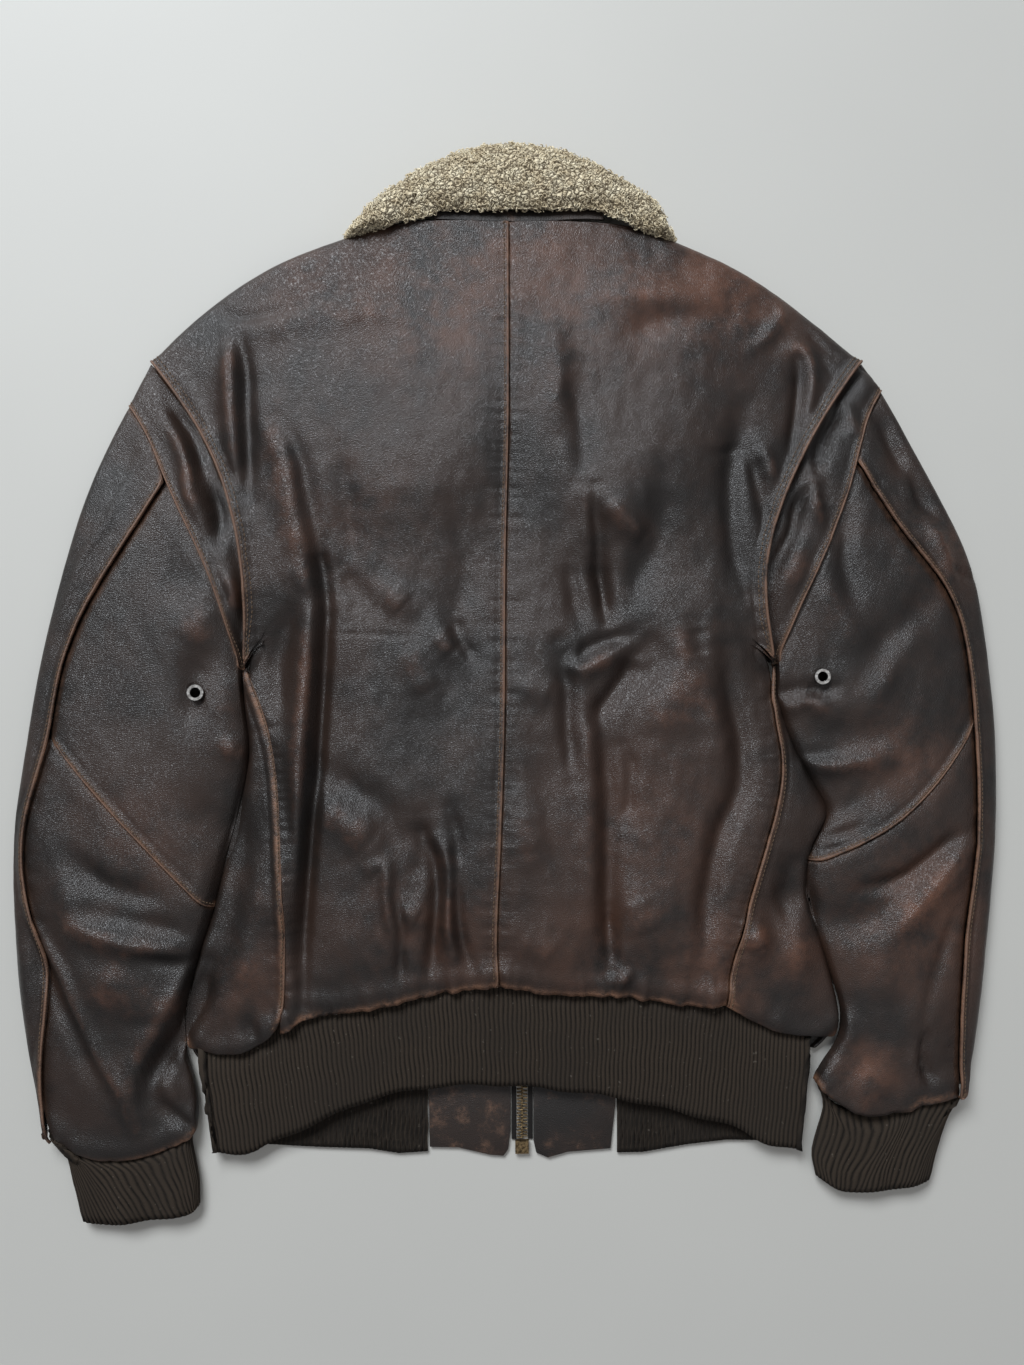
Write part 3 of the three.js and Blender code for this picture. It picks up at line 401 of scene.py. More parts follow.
# %% [markdown]
# ## Creases placed one by one
# Worn leather keeps its folds. Every crease here is a line with a height and a width in millimetres: a
# positive height is a soft ridge and a negative one a trough. All of them add up to one relief over the
# whole jacket, so a fold that crosses a seam stays whole. The hidden side underneath lies flat on the
# floor and has none.

# %% The creases: (height, width, points) in millimetres
CREASES = [
    # the back, upper left
    (4.5, 8, [(-213, 258), (-214, 242), (-213, 214), (-211, 184), (-204, 144)]),
    (2.5, 12, [(-213, 259), (-190, 260), (-154, 265), (-94, 272)]),
    (-5, 6, [(-208, 254), (-202, 224), (-201, 184), (-200, 144), (-197, 128)]),
    (4, 14, [(-185, 194), (-173, 164), (-169, 139), (-161, 105), (-153, 75)]),
    (-3.5, 7, [(-177, 190), (-162, 165), (-154, 125), (-145, 75), (-142, 47)]),
    (-1.5, 8, [(-134, 165), (-126, 135), (-122, 95)]),
    (-2, 10, [(-48, 126), (-38, 75), (-50, 43)]),
    (-1.8, 5, [(-223, 278), (-213, 270), (-190, 268), (-150, 275)]),
    (-2, 6, [(-234, 182), (-224, 162), (-213, 136)]),
    (-2.5, 12, [(-242, 229), (-234, 202), (-226, 182)]),
    # the back, lower left, and the left side panel
    (-8, 6, [(-148, 86), (-143, 53), (-144, 21), (-148, -36), (-150, -74), (-154, -120), (-159, -184),
        (-160, -242)]),
    (5, 11, [(-159, 73), (-156, 53), (-156, 21), (-159, -35), (-161, -74), (-166, -120), (-169, -184),
        (-169, -233)]),
    (-2.5, 6, [(-48, 45), (-42, 25), (-31, 14)]),
    (3, 10, [(-61, 32), (-48, 19)]),
    (2.5, 12, [(-83, 23), (-74, 4), (-66, -12)]),
    (-0.35, 1.8, [(-144, 32), (-105, 31), (-70, 29)]),
    (-3.5, 13, [(-150, -64), (-126, -83), (-104, -98), (-89, -122), (-83, -142)]),
    (3.5, 16, [(-145, -96), (-126, -109), (-109, -122)]),
    (2.8, 6, [(-109, -142), (-98, -142), (-96, -170), (-87, -200)]),
    (-3, 5, [(-92, -159), (-87, -191), (-89, -228)]),
    (3, 9, [(-85, -174), (-74, -180)]),
    (4, 6, [(-61, -121), (-54, -133), (-51, -157), (-52, -185), (-48, -207)]),
    (-4.5, 6, [(-70, -118), (-61, -140), (-60, -170), (-63, -200), (-67, -230)]),
    (-3, 5, [(-47, -149), (-44, -185), (-36, -218)]),
    (-2, 6, [(-50, -99), (-44, -123), (-47, -142)]),
    (-3, 9, [(-74, -105), (-72, -131), (-74, -153)]),
    (-3, 6, [(-172, -66), (-168, -130), (-167, -216)]),
    (-4.5, 10, [(-159, 56), (-174, 29), (-178, -5), (-177, -35)]),
    (-2, 9, [(-131, 78), (-120, 62), (-111, 51)]),
    (2.5, 10, [(-96, 62), (-85, 52)]),
    # the back, upper right
    (-4, 6, [(56, 140), (60, 106), (65, 76), (67, 44)]),
    (3, 9, [(65, 130), (82, 114), (96, 104)]),
    (2.5, 9, [(51, 144), (53, 126), (54, 96)]),
    (-2.5, 8, [(38, 227), (45, 197), (49, 167), (49, 147)]),
    (2, 10, [(21, 258), (31, 227), (25, 187)]),
    (-3, 12, [(110, 147), (106, 117), (96, 86), (83, 56)]),
    (2.2, 14, [(58, 283), (109, 286), (141, 280)]),
    (-2.2, 10, [(84, 253), (109, 267), (160, 272)]),
    (-1.5, 3, [(143, 170), (153, 169), (170, 174)]),
    (-4.5, 6, [(217, 240), (217, 220), (212, 189), (207, 168)]),
    (3.5, 6, [(207, 251), (220, 250), (225, 232), (221, 199)]),
    (-4, 9, [(170, 203), (166, 178), (161, 148), (165, 97), (175, 66)]),
    (3, 7, [(182, 174), (190, 162), (192, 148)]),
    (-3, 6, [(177, 172), (185, 138), (190, 111)]),
    (2.5, 6, [(199, 287), (203, 277), (191, 260), (178, 248)]),
    (-1.2, 4, [(232, 249), (244, 232)]),
    (-1.2, 4, [(224, 265), (244, 247)]),
    (1.5, 8, [(89, 339), (109, 327), (129, 315)]),
    # the back, lower right, and the right side panel
    (-3.5, 7, [(30, 23), (35, 6), (37, -18), (38, -45), (42, -77)]),
    (-3, 6, [(32, 28), (42, 13), (53, 21), (71, 28), (87, 30)]),
    (3.8, 8, [(35, 19), (47, 6), (67, 14), (81, 23)]),
    (-4.5, 7, [(88, 15), (80, -1), (64, -23), (59, -31)]),
    (-5, 9, [(59, -27), (65, -53), (67, -88), (67, -132), (68, -176), (67, -219)]),
    (2.8, 10, [(49, -5), (54, -45), (56, -88), (57, -132), (56, -186)]),
    (-2.5, 6, [(80, -53), (85, -67), (84, -89), (82, -110)]),
    (-2.5, 7, [(39, 87), (42, 61), (47, 39)]),
    (-4, 6, [(58, 87), (64, 61), (67, 43)]),
    (-3, 12, [(93, 32), (104, 15), (100, 3), (86, -1)]),
    (3.5, 22, [(124, 43), (131, 10), (115, -23), (106, -49)]),
    (-5, 9, [(158, 21), (160, -12), (168, -45), (168, -85), (152, -122), (143, -165), (140, -220)]),
    (2, 12, [(146, -7), (151, -36), (153, -67)]),
    (-3, 6, [(69, -176), (72, -219)]),
    (2.5, 14, [(86, -165), (97, -193)]),
    (3, 5, [(77, -228), (83, -224)]),
    (2, 9, [(3, -7), (25, -14)]),
    (2, 14, [(3, -99), (7, -132)]),
    (2, 14, [(2, -194), (26, -210)]),
    (-1.6, 9, [(18, -55), (22, -99), (35, -154)]),
    (-2.4, 8, [(135, 37), (138, 15)]),
    (3, 10, [(176, -192), (179, -205)]),
    (3, 14, [(212, -199), (214, -221)]),
    (-3.5, 14, [(217, -133), (203, -166), (194, -173)]),
    # the left sleeve
    (4, 7, [(-262, 193), (-253, 179), (-245, 159), (-242, 134), (-234, 117)]),
    (-5.5, 5, [(-261, 202), (-247, 185), (-240, 168), (-232, 145)]),
    (-6, 6, [(-229, 140), (-223, 121), (-223, 102)]),
    (3.5, 5, [(-217, 74), (-210, 64), (-211, 49)]),
    (3, 14, [(-236, 53), (-239, 34), (-243, 23)]),
    (2.2, 14, [(-217, 0), (-216, -30)]),
    (-3, 9, [(-238, 15), (-242, -19), (-244, -36)]),
    (-2, 16, [(-254, 79), (-243, 58)]),
    (1.3, 3.5, [(-279, 173), (-301, 121), (-321, 91), (-334, 59), (-342, 34)]),
    (-2, 12, [(-287, 173), (-294, 147)]),
    (-4, 9, [(-327, -133), (-311, -149), (-290, -159), (-270, -163)]),
    (2.5, 10, [(-332, -156), (-326, -177), (-327, -191)]),
    (5, 9, [(-327, -184), (-297, -192), (-267, -199), (-242, -205)]),
    (-3, 10, [(-309, -172), (-274, -184), (-249, -191)]),
    (-2.6, 6, [(-276, -207), (-249, -211), (-238, -208)]),
    (4, 20, [(-308, -219), (-278, -240), (-274, -256)]),
    (-8, 8, [(-230, -215), (-239, -245), (-255, -270), (-269, -293), (-274, -309)]),
    (3.5, 7, [(-239, -208), (-249, -229), (-264, -256), (-278, -281), (-284, -302), (-281, -334)]),
    (2.8, 4, [(-364, -163), (-353, -186), (-336, -216), (-320, -251), (-304, -284), (-290, -309),
        (-281, -335)]),
    (-2.5, 6, [(-361, -191), (-346, -219), (-331, -252), (-316, -284), (-302, -310)]),
    (3, 8, [(-209, -56), (-217, -52)]),
    (-2.2, 12, [(-242, -98), (-217, -120)]),
    (-4, 12, [(-205, -83), (-209, -142), (-218, -189), (-231, -236)]),
    (2.2, 12, [(-190, -147), (-197, -199), (-204, -236)]),
    (-2, 5, [(-199, -255), (-195, -269)]),
    (-2.4, 5, [(-270, -314), (-250, -328), (-240, -335)]),
    (1.8, 6, [(-264, -295), (-252, -314)]),
    # the right sleeve
    (3, 5, [(252, 210), (257, 194), (261, 183)]),
    (-6, 5, [(249, 206), (236, 183), (228, 158)]),
    (4, 6, [(223, 158), (226, 135), (234, 120)]),
    (-3, 5, [(230, 150), (235, 131), (239, 112)]),
    (-7, 5, [(223, 146), (213, 127), (211, 112), (201, 93), (195, 77)]),
    (3, 12, [(214, 93), (207, 72)]),
    (-3, 12, [(271, 18), (299, 40), (316, 60)]),
    (3, 12, [(230, 74), (245, 46), (260, 18)]),
    (2.5, 12, [(291, 21), (306, 37)]),
    (2.5, 10, [(271, -16), (283, 3)]),
    (-2.8, 7, [(253, 131), (250, 93), (257, 61)]),
    (-1.2, 3, [(261, 139), (284, 151)]),
    (-1.2, 3, [(270, 113), (288, 120)]),
    (-4, 8, [(276, 210), (287, 185), (306, 145), (326, 122)]),
    (3, 6, [(298, 160), (304, 135)]),
    (3, 7, [(320, 118), (329, 95), (335, 74)]),
    (-1.6, 3, [(334, 84), (355, 76)]),
    (-3.2, 6, [(200, -14), (214, -12), (227, -10), (244, -8)]),
    (3.2, 7, [(202, -26), (221, -18), (240, -28)]),
    (-3, 12, [(234, -44), (262, -45), (284, -45)]),
    (-2.5, 5, [(216, -60), (246, -59), (272, -57)]),
    (4, 8, [(221, -65), (246, -67), (261, -62), (281, -66)]),
    (-1.6, 4, [(231, -126), (246, -121), (263, -115)]),
    (-1.6, 4, [(233, -133), (251, -131)]),
    (-4, 6, [(349, -121), (331, -127), (296, -153), (261, -162)]),
    (4.5, 11, [(346, -127), (328, -149), (307, -172), (283, -199)]),
    (-2.5, 14, [(233, -187), (260, -187), (280, -178)]),
    (-2.5, 5, [(223, -163), (229, -176), (229, -190)]),
    (-1.5, 5, [(337, -176), (321, -220), (311, -252), (308, -274)]),
    (-4.5, 4, [(310, -273), (308, -290), (316, -312)]),
    (2.5, 5, [(306, -278), (303, -297), (307, -310)]),
    (3, 8, [(181, -190), (184, -204)]),
    (-3, 14, [(198, -178), (220, -168)]),
    (2.4, 12, [(272, -310), (262, -324)]),
]

# %% Distance to a line, for many points at once
def beside(line, points):
    """Each point's distance from a line and how far along it is, and the line's length, in millimetres."""
    best = np.full(len(points), np.inf)
    run = np.zeros(len(points))
    start = 0.0
    for a, b in zip(line[:-1], line[1:]):
        step = b - a
        length = max(float(np.hypot(*step)), 1e-6)
        away = points - a
        share = np.clip(away @ step / length ** 2, 0, 1)
        gap = away - share[:, None] * step
        squared = (gap ** 2).sum(1)
        closer = squared < best
        best[closer] = squared[closer]
        run[closer] = start + share[closer] * length
        start += length
    return np.sqrt(best), run, start


def smooth(low, high, value):
    """0 below low, 1 above high, and a soft change between. low may be the larger one."""
    share = np.clip((value - low) / (high - low), 0, 1)
    return share * share * (3 - 2 * share)


def curve_through(points, pieces=5):
    """A line of straight pieces through smooth bends."""
    p = np.asarray(points, float)
    if len(p) < 3:
        return p
    p = np.vstack([2 * p[0] - p[1], p, 2 * p[-1] - p[-2]])
    made = []
    for k in range(1, len(p) - 2):
        for t in np.arange(pieces) / pieces:
            a, b, c, d = p[k - 1], p[k], p[k + 1], p[k + 2]
            made.append(0.5 * (2 * b + (c - a) * t + (2 * a - 5 * b + 4 * c - d) * t ** 2
                               + (3 * b - a - 3 * c + d) * t ** 3))
    return np.array(made + [p[-2]])


def crease_relief(points):
    """The height that all the creases add at each point."""
    relief = np.zeros(len(points))
    for height, width, line in CREASES:
        line = curve_through(line)
        reach = 3 * width
        inside = ((points > line.min(0) - reach) & (points < line.max(0) + reach)).all(1)
        if not inside.any():
            continue
        gap, run, length = beside(line, points[inside])
        fade = smooth(-0.3 * width, 0.25 * length, run) * smooth(-0.3 * width, 0.25 * length, length - run)
        relief[inside] += height * np.exp(-((gap / width) ** 2)) * (0.35 + 0.65 * fade)
    return relief


def rumple(points, size, seed):
    """Smooth seeded noise between about -1 and 1 with bumps of a given size."""
    shift = Vector((seed * 17.3, seed * 5.1, seed * 9.7))
    return np.array([noise.noise(Vector((x / size, y / size, 0.0)) + shift) for x, y in points])


print("creases", len(CREASES))

# %% [markdown]
# ## Hems, gathers and seam ridges
# The body is wider than the ribbed waistband it is sewn to, so the leather puffs over the rib and runs
# up into short gathers; the same happens at the wrists. At a seam one panel's folded edge stands over
# the next, and the sewing draws the leather into small puckers.

# %% Lines along the hems, in millimetres
HEMS = [
    [(-247, -270), (-237, -281), (-222, -284), (-204, -281), (-190, -275), (-177, -263)],
    [(-177, -263), (-166, -257), (-157, -250), (-132, -249), (-89, -240), (-51, -233), (-14, -229)],
    [(246, -270), (236, -277), (223, -280), (206, -275), (188, -267), (171, -257), (159, -246)],
    [(159, -246), (148, -248), (128, -246), (98, -242), (69, -237), (40, -238), (14, -234), (-14, -229)],
    [(-347, -337), (-332, -351), (-306, -357), (-286, -356), (-264, -350), (-246, -341), (-240, -334)],
    [(343, -318), (320, -321), (305, -323), (296, -333), (280, -340), (258, -338), (242, -328),
     (229, -306)],
]
# For each kind of seam: how far the upper edge stands up, how far the lower one dips, and how wide that is.
SEAM_HEIGHTS = {
    "centre": (1.1, 1.0, 3.2), "armhole": (3.4, 6.0, 6.5), "flank": (1.2, 1.2, 4.0),
    "cap": (1.3, 1.4, 4.0), "long": (1.6, 1.6, 4.2), "elbow": (1.1, 1.0, 3.4),
}
CREASE_DEPTH = 1.45  # how much deeper the creases are than their listed heights
EDGE_OUT = 1.5  # how far the sides are moved out, in millimetres
LOWEST = 6.2  # no part of the top sinks below this height, or below its start where that is lower
seam_lines = {}
for name, rows in seam_rows.items():
    over = SEAMS[name][0]
    seam_lines[name] = rest[over][rims[over][0][rows]][::3, :2]


def bell(gap, width):
    """1 at no distance, falling off like a bell."""
    return np.exp(-((gap / width) ** 2))


def shape_panel(name):
    """Gives a smooth skin its creases, hem and seams, and keeps the relief and the wear of each point."""
    piece = panels[name]
    start = rest[name]
    flat = start[:, :2]
    relief = crease_relief(flat)
    hollow = 1.1 * rumple(flat, 55, 1) + 0.85 * rumple(flat * (1.0, 0.45), 17, 2)
    fine = 0.42 * rumple(flat * (1.0, 0.6), 7.5, 3)
    lift = CREASE_DEPTH * relief + hollow + fine
    wear = np.zeros(len(flat))
    overhang = np.zeros(len(flat))
    for k, hem in enumerate(HEMS):
        gap, run, _ = beside(curve_through(hem), flat)
        near = gap < 75
        if not near.any():
            continue
        along = np.column_stack([run, np.full_like(run, 40.0 * k)])
        gather = np.zeros(len(flat))
        short = 2.2 * rumple(along[near], 5.5, 5) * np.exp(-gap[near] / 13)
        gather[near] = 2.5 * rumple(along[near], 11, 4) + short
        lift += gather * np.exp(-gap / 24) + 2.6 * bell(gap - 8, 8) + 0.6 * np.exp(-gap / 3)
        overhang = np.maximum(overhang, (3.2 + 0.5 * gather) * np.exp(-gap / 6))
        wear = np.maximum(wear, bell(gap, 2.6))
    for seam, (over, unders) in SEAMS.items():
        if name != over and name not in unders:
            continue
        stand, dip, width = SEAM_HEIGHTS[seam.split("_")[0]]
        gap, run, _ = beside(seam_lines[seam], flat)
        near = gap < 30
        along = np.column_stack([run, np.full_like(run, 11.0)])
        pucker = np.zeros(len(flat))
        pucker[near] = rumple(along[near], 4.2, 6)
        if name == over:
            lift += stand * bell(gap, width) - 0.55 * bell(gap - 1.5 * width, 1.6)
            wear = np.maximum(wear, 0.9 * bell(gap, 1.9))
        else:
            lift -= dip * bell(gap, 1.3 * width)
            wear = np.maximum(wear, 0.35 * bell(gap, 1.6))
        lift += 1.1 * pucker * bell(gap, 11) * smooth(1, 4, gap)
    normals = rows_of(piece, "normal")
    moved = start + normals * (EDGE_OUT, EDGE_OUT, 0.0)
    moved[:, 2] += lift * smooth(0.05, 0.6, normals[:, 2])
    moved[:, 1] -= overhang
    moved[:, 2] = np.maximum(moved[:, 2], np.minimum(start[:, 2], LOWEST))
    put_points(piece, moved)
    keep_value(piece.data, "relief", relief + hollow)
    keep_value(piece.data, "edge_wear", wear)


for name in top_panels:
    shape_panel(name)
print("creased", len(top_panels), "panels")

# %% [markdown]
# ## Leather with a thickness
# Each creased skin gets its 1.6 mm wall inward with Solidify. Faces are turned outward first, because
# Solidify grows along them.

# %% Thicken the panels
def face_outward(piece, up):
    """Turns the faces the same way, towards +Z for up = 1 and towards -Z for up = -1."""
    bm = opened(piece.data)
    bmesh.ops.recalc_face_normals(bm, faces=bm.faces)
    if up * sum(face.normal.z * face.calc_area() for face in bm.faces) < 0:
        bmesh.ops.reverse_faces(bm, faces=bm.faces)
    written(bm, piece.data)


def thicken(piece, thickness):
    """Grows a skin inward into a wall."""
    wall = piece.modifiers.new("wall", "SOLIDIFY")
    wall.thickness = thickness
    wall.offset = -1
    settle(piece)
    shaded(piece.data)


creased = {name: points_of(panels[name]) for name in top_panels}
top_points, top_faces = [], []
for name in top_panels:
    for polygon in panels[name].data.polygons:
        top_faces.append([index + len(top_points) for index in polygon.vertices])
    top_points += creased[name].tolist()
tops = BVHTree.FromPolygons(top_points, top_faces)


def on_leather(x, y):
    """The height of the leather, in millimetres, and its normal at a place seen from above."""
    place, normal, _, _ = tops.ray_cast(Vector((x, y, 200)), -UP)
    if place is None:
        return None, None
    return place.z, normal if normal.z > 0 else -normal


LEAST_FILL = 0.55  # the smallest share of its rectangle of hide that a panel fills
cuts = {}
for name, piece in panels.items():
    face_outward(piece, 1 if name in top_panels else -1)
    area = sum(polygon.area for polygon in piece.data.polygons)
    seen = sum(abs(polygon.normal.z) * polygon.area for polygon in piece.data.polygons)
    width, length = np.ptp(rest[name], axis=0)[:2] * MM * math.sqrt(area / seen)
    cuts[name] = (min(width, area / (LEAST_FILL * length)), length, area)
    thicken(piece, LEATHER_THICKNESS)
print("cuts in mm", {name: [round(PER_METRE * c) for c in cut[:2]] for name, cut in cuts.items()})

# %% [markdown]
# ## Turned seam edges and stitches
# On the real jacket the upper panel's edge is folded under and sewn down beside the fold, which leaves
# a small round ridge with a row of stitches next to it. The ridge is a curve with a bevel turned into a
# mesh. A stitch is a small capsule, and all the stitches of the jacket are one mesh made from an array
# of places.

# %% Ridges along the seams
def steps_of(line):
    """How far along a line each of its points is."""
    return np.r_[0, np.cumsum(np.linalg.norm(np.diff(line, axis=0), axis=1))]


def places_at(line, steps, at):
    """Places on a line, where steps says how far along it its own points are."""
    return np.column_stack([np.interp(at, steps, column) for column in line.T])


def evenly(line, pitch):
    """Points at even steps along a line."""
    steps = steps_of(line)
    return places_at(line, steps, np.arange(0, steps[-1], pitch))


def eased(line, times):
    """A line with its small wobbles taken out."""
    line = np.array(line, float)
    for _ in range(times):
        line[1:-1] = 0.5 * line[1:-1] + 0.25 * (line[:-2] + line[2:])
    return line


def cord(name, line, radius):
    """A round cord with thin ends along a line given in millimetres."""
    curve = bpy.data.curves.new(name, "CURVE")
    curve.dimensions = "3D"
    curve.bevel_depth = radius * MM
    curve.bevel_resolution = 1
    curve.use_fill_caps = True
    spline = curve.splines.new("POLY")
    spline.points.add(len(line) - 1)
    for k, point in enumerate(line):
        spline.points[k].co = (*(point * MM), 1)
        spline.points[k].radius = min(1.0, 0.3 + 0.35 * min(k, len(line) - 1 - k))
    holder = link(name, curve)
    mesh = bpy.data.meshes.new_from_object(holder.evaluated_get(bpy.context.evaluated_depsgraph_get()))
    bpy.data.objects.remove(holder)
    shaded(mesh)
    return link(name, mesh)


LARGEST_STEP = 6  # a place that is further than this above or below the edge lies on another layer


def seam_path(seam, inward, above):
    """A line beside a seam, on the leather of its upper panel."""
    over = SEAMS[seam][0]
    loop, inside = rims[over]
    rows = seam_rows[seam]
    edge = eased(creased[over][loop[rows]], 3)
    ways = eased(inside[rows], 8)
    ways /= np.maximum(np.linalg.norm(ways, axis=1), 1e-6)[:, None]
    path = []
    for point, way in zip(edge, ways):
        x, y = point[:2] + inward * way
        height, _ = on_leather(x, y)
        if height is not None and abs(height - point[2]) <= LARGEST_STEP:
            path.append((x, y, height + above))
    return eased(path, 2)


# The radius of each kind of seam's ridge, in millimetres.
WELT = {"centre": 0.7, "armhole": 1.1, "flank": 0.8, "cap": 0.8, "long": 0.95, "elbow": 0.65}
welts = []
for seam in SEAMS:
    kind = seam.split("_")[0]
    path = seam_path(seam, WELT[kind] * 0.9, -0.25)
    welts.append(cord("turned_edge_" + seam, evenly(path, 2.2), WELT[kind]))
    welts[-1]["over"] = SEAMS[seam][0]
print("turned edges", len(welts))

# %% Many copies of one small shape
def many(name, template, places, soft=True):
    """One mesh from a small bmesh shape put at each of the places, given as 4x4 matrices in metres."""
    template.verts.index_update()
    points = np.array([tuple(v.co) for v in template.verts])
    faces = [[v.index for v in face.verts] for face in template.faces]
    count = len(points)
    matrices = np.array([[list(row) for row in place] for place in places])
    spread = np.einsum("nij,kj->nki", matrices[:, :3, :3], points) + matrices[:, None, :3, 3]
    mesh = bpy.data.meshes.new(name)
    mesh.from_pydata(spread.reshape(-1, 3).tolist(), [],
                     [[v + k * count for v in face] for k in range(len(places)) for face in faces])
    shaded(mesh, soft)
    template.free()
    print(name, len(places))
    return link(name, mesh)


def standing(place, along, normal, size=1.0):
    """A matrix in metres that puts a small shape at a place with its X along the way and its Z up."""
    along = Vector(along).normalized()
    side = Vector(normal).cross(along).normalized()
    turn = Matrix((along, side, along.cross(side))).transposed().to_4x4()
    return Matrix.Translation(Vector(place) * MM) @ turn @ Matrix.Scale(size, 4)


# %% Stitches
# The distances of the rows from the seam's edge and the pitch of the stitches, in millimetres.
STITCH_ROWS = {
    "centre": ([3.2], 3.4), "armhole": ([3.6, 6.6], 3.6), "flank": ([3.6], 3.4),
    "cap": ([3.2], 3.3), "long": ([3.4], 3.3), "elbow": ([2.8], 3.2),
}
stitch = bmesh.new()
bmesh.ops.create_uvsphere(stitch, u_segments=6, v_segments=4, radius=0.5 * MM)
bmesh.ops.rotate(stitch, verts=stitch.verts, matrix=Matrix.Rotation(math.radians(90), 3, "Y"))
bmesh.ops.scale(stitch, verts=stitch.verts, vec=(2.9, 1.0, 0.75))
stitch_places = []
for seam in SEAMS:
    insets, pitch = STITCH_ROWS[seam.split("_")[0]]
    for inset in insets:
        path = evenly(seam_path(seam, inset, 0.22), pitch)
        for before, here, after in zip(path[:-2], path[1:-1], path[2:]):
            _, normal = on_leather(here[0], here[1])
            if normal is not None:
                stitch_places.append(standing(here, after - before, normal))
stitches = many("stitches", stitch, stitch_places)

# %% [markdown]
# ## Ribbed knit
# Rib knit is columns of stitches that stand up with gaps between them. The waistband and the cuffs are
# grids with five points to a rib, laid on the shape of their solids, and each rib is raised by a
# rounded wave. The knit pulls in a little and waves at its lower edge.

# %% Waistband
RIB_PITCH = 3.4
RIB_DEPTH = 0.85
POINTS_PER_RIB = 5
HALF_HEIGHT = 6.4  # half the height of a cuff or the folded band
BAND_TOP = [(-236, -284.5), (-222, -286), (-204, -283), (-190, -277), (-177, -265), (-157, -252.5),
            (-132, -251), (-89, -242.5), (-51, -235.5), (-14, -231.5), (14, -236.5), (40, -240.5),
            (69, -239.5), (98, -244.5), (128, -248.5), (148, -250.5), (159, -248.5), (171, -259.5),
            (188, -269.5), (206, -277.5), (224, -282.5)]
BAND_BOTTOM = [(-225, -354), (-200, -355), (-183, -348), (-141, -330), (-111, -318), (-79, -311),
               (-48, -308), (-3, -309), (32, -313), (73, -319), (111, -328), (144, -337), (170, -345),
               (192, -357), (216, -362)]
UNDER_LEFT = [(-68, -360), (-89, -361), (-112, -357), (-150, -355), (-190, -352), (-222, -354)]
UNDER_RIGHT = [(77.3, -364), (97, -364), (130, -359), (162, -356), (190, -357), (214, -360)]
UNDER_TOP = -291.2
FOLD = 7.2
BACK_LEVELS = (13.6, 12.6)  # the heights of the upper and the lower line across the back


def by_share(line, count):
    """A smooth line cut at even shares of its own length."""
    line = curve_through(line)
    steps = steps_of(line)
    return places_at(line, steps, np.linspace(0, steps[-1], count))


def band_end(under, way, top_x, foot, rise):
    """The band's two edges from a tab out to one side (way is -1 or 1) and up round its fold."""
    upper = [(x, UNDER_TOP, 0) for x, _ in under]
    lower = [(x, y, 0) for x, y in under]
    for turn in np.linspace(0.15, 0.85, 6):
        out = way * FOLD * math.sin(math.pi * turn)
        level = FOLD * 0.9 * (1 - math.cos(math.pi * turn))
        upper.append((top_x + out, UNDER_TOP - 0.6 + rise * turn ** 3, level))
        lower.append((foot[0] + 0.8 * out, foot[1], level))
    return upper, lower


def band_edges():
    """The band's upper and lower lines in space, from the left tab round the back to the right tab."""
    left = band_end(UNDER_LEFT, -1, -230, (-222.5, -354), 5)
    right = band_end(UNDER_RIGHT, 1, 219.5, (213, -361), 8)
    edges = []
    for first, line, level, last in zip(left, (BAND_TOP, BAND_BOTTOM), BACK_LEVELS, right):
        back = [(*place, level) for place in by_share(line, 60)]
        edges.append(np.array(first + back + last[::-1], float))
    return edges


def ribbed_sheet(name, surface, ribs, rows, closed):
    """A ribbed knit. surface(u, v) gives its places: u runs across the ribs and v along them."""
    columns = ribs * POINTS_PER_RIB
    bm = bmesh.new()
    bmesh.ops.create_grid(bm, x_segments=columns, y_segments=rows, size=0.5)
    rib = bm.verts.layers.float.new("rib")
    u = np.array([v.co.x + 0.5 for v in bm.verts])
    v = np.array([v.co.y + 0.5 for v in bm.verts])
    place = surface(u, v)
    step = 0.5 / columns
    across = surface(np.minimum(u + step, 1), v) - surface(np.maximum(u - step, 0), v)
    along = surface(u, np.minimum(v + 0.02, 1)) - surface(u, np.maximum(v - 0.02, 0))
    normal = np.cross(along, across)
    normal /= np.maximum(np.linalg.norm(normal, axis=1), 1e-9)[:, None]
    normal *= np.sign((normal[:, 2] * (place[:, 2] - HALF_HEIGHT)).sum())
    wobble = 0.10 * np.sin(v * 19 + 3 * np.sin(u * 31)) + 0.12 * np.sin(u * 83)
    phase = u * ribs + wobble
    crest = np.abs(np.cos(math.pi * phase)) ** 0.8
    knots = 0.10 * np.sin(v * rows * 2.1 + np.floor(phase) * 2.4)
    relief = RIB_DEPTH * (crest - 1) + knots * crest
    place = place + normal * relief[:, None]
    drawn_in = smooth(0.93, 1.0, v) ** 2 + 1.6 * smooth(0.2, 0.1, v)
    place[:, 2] -= drawn_in * smooth(0.2, 0.8, normal[:, 2])
    for vert, spot, share in zip(bm.verts, place, crest):
        vert.co = Vector(spot) * MM
        vert[rib] = share
    if closed:
        bmesh.ops.remove_doubles(bm, verts=bm.verts, dist=0.02 * MM)
    bmesh.ops.recalc_face_normals(bm, faces=bm.faces)
    outward = 0.0
    for face in bm.faces:
        outward += face.normal.z * (face.calc_center_median().z - HALF_HEIGHT * MM) * face.calc_area()
    if outward < 0:
        bmesh.ops.reverse_faces(bm, faces=bm.faces)
    return link(name, written(bm, bpy.data.meshes.new(name)))


band_upper, band_lower = band_edges()
band_steps = steps_of((band_upper + band_lower) / 2)
band_length = band_steps[-1]


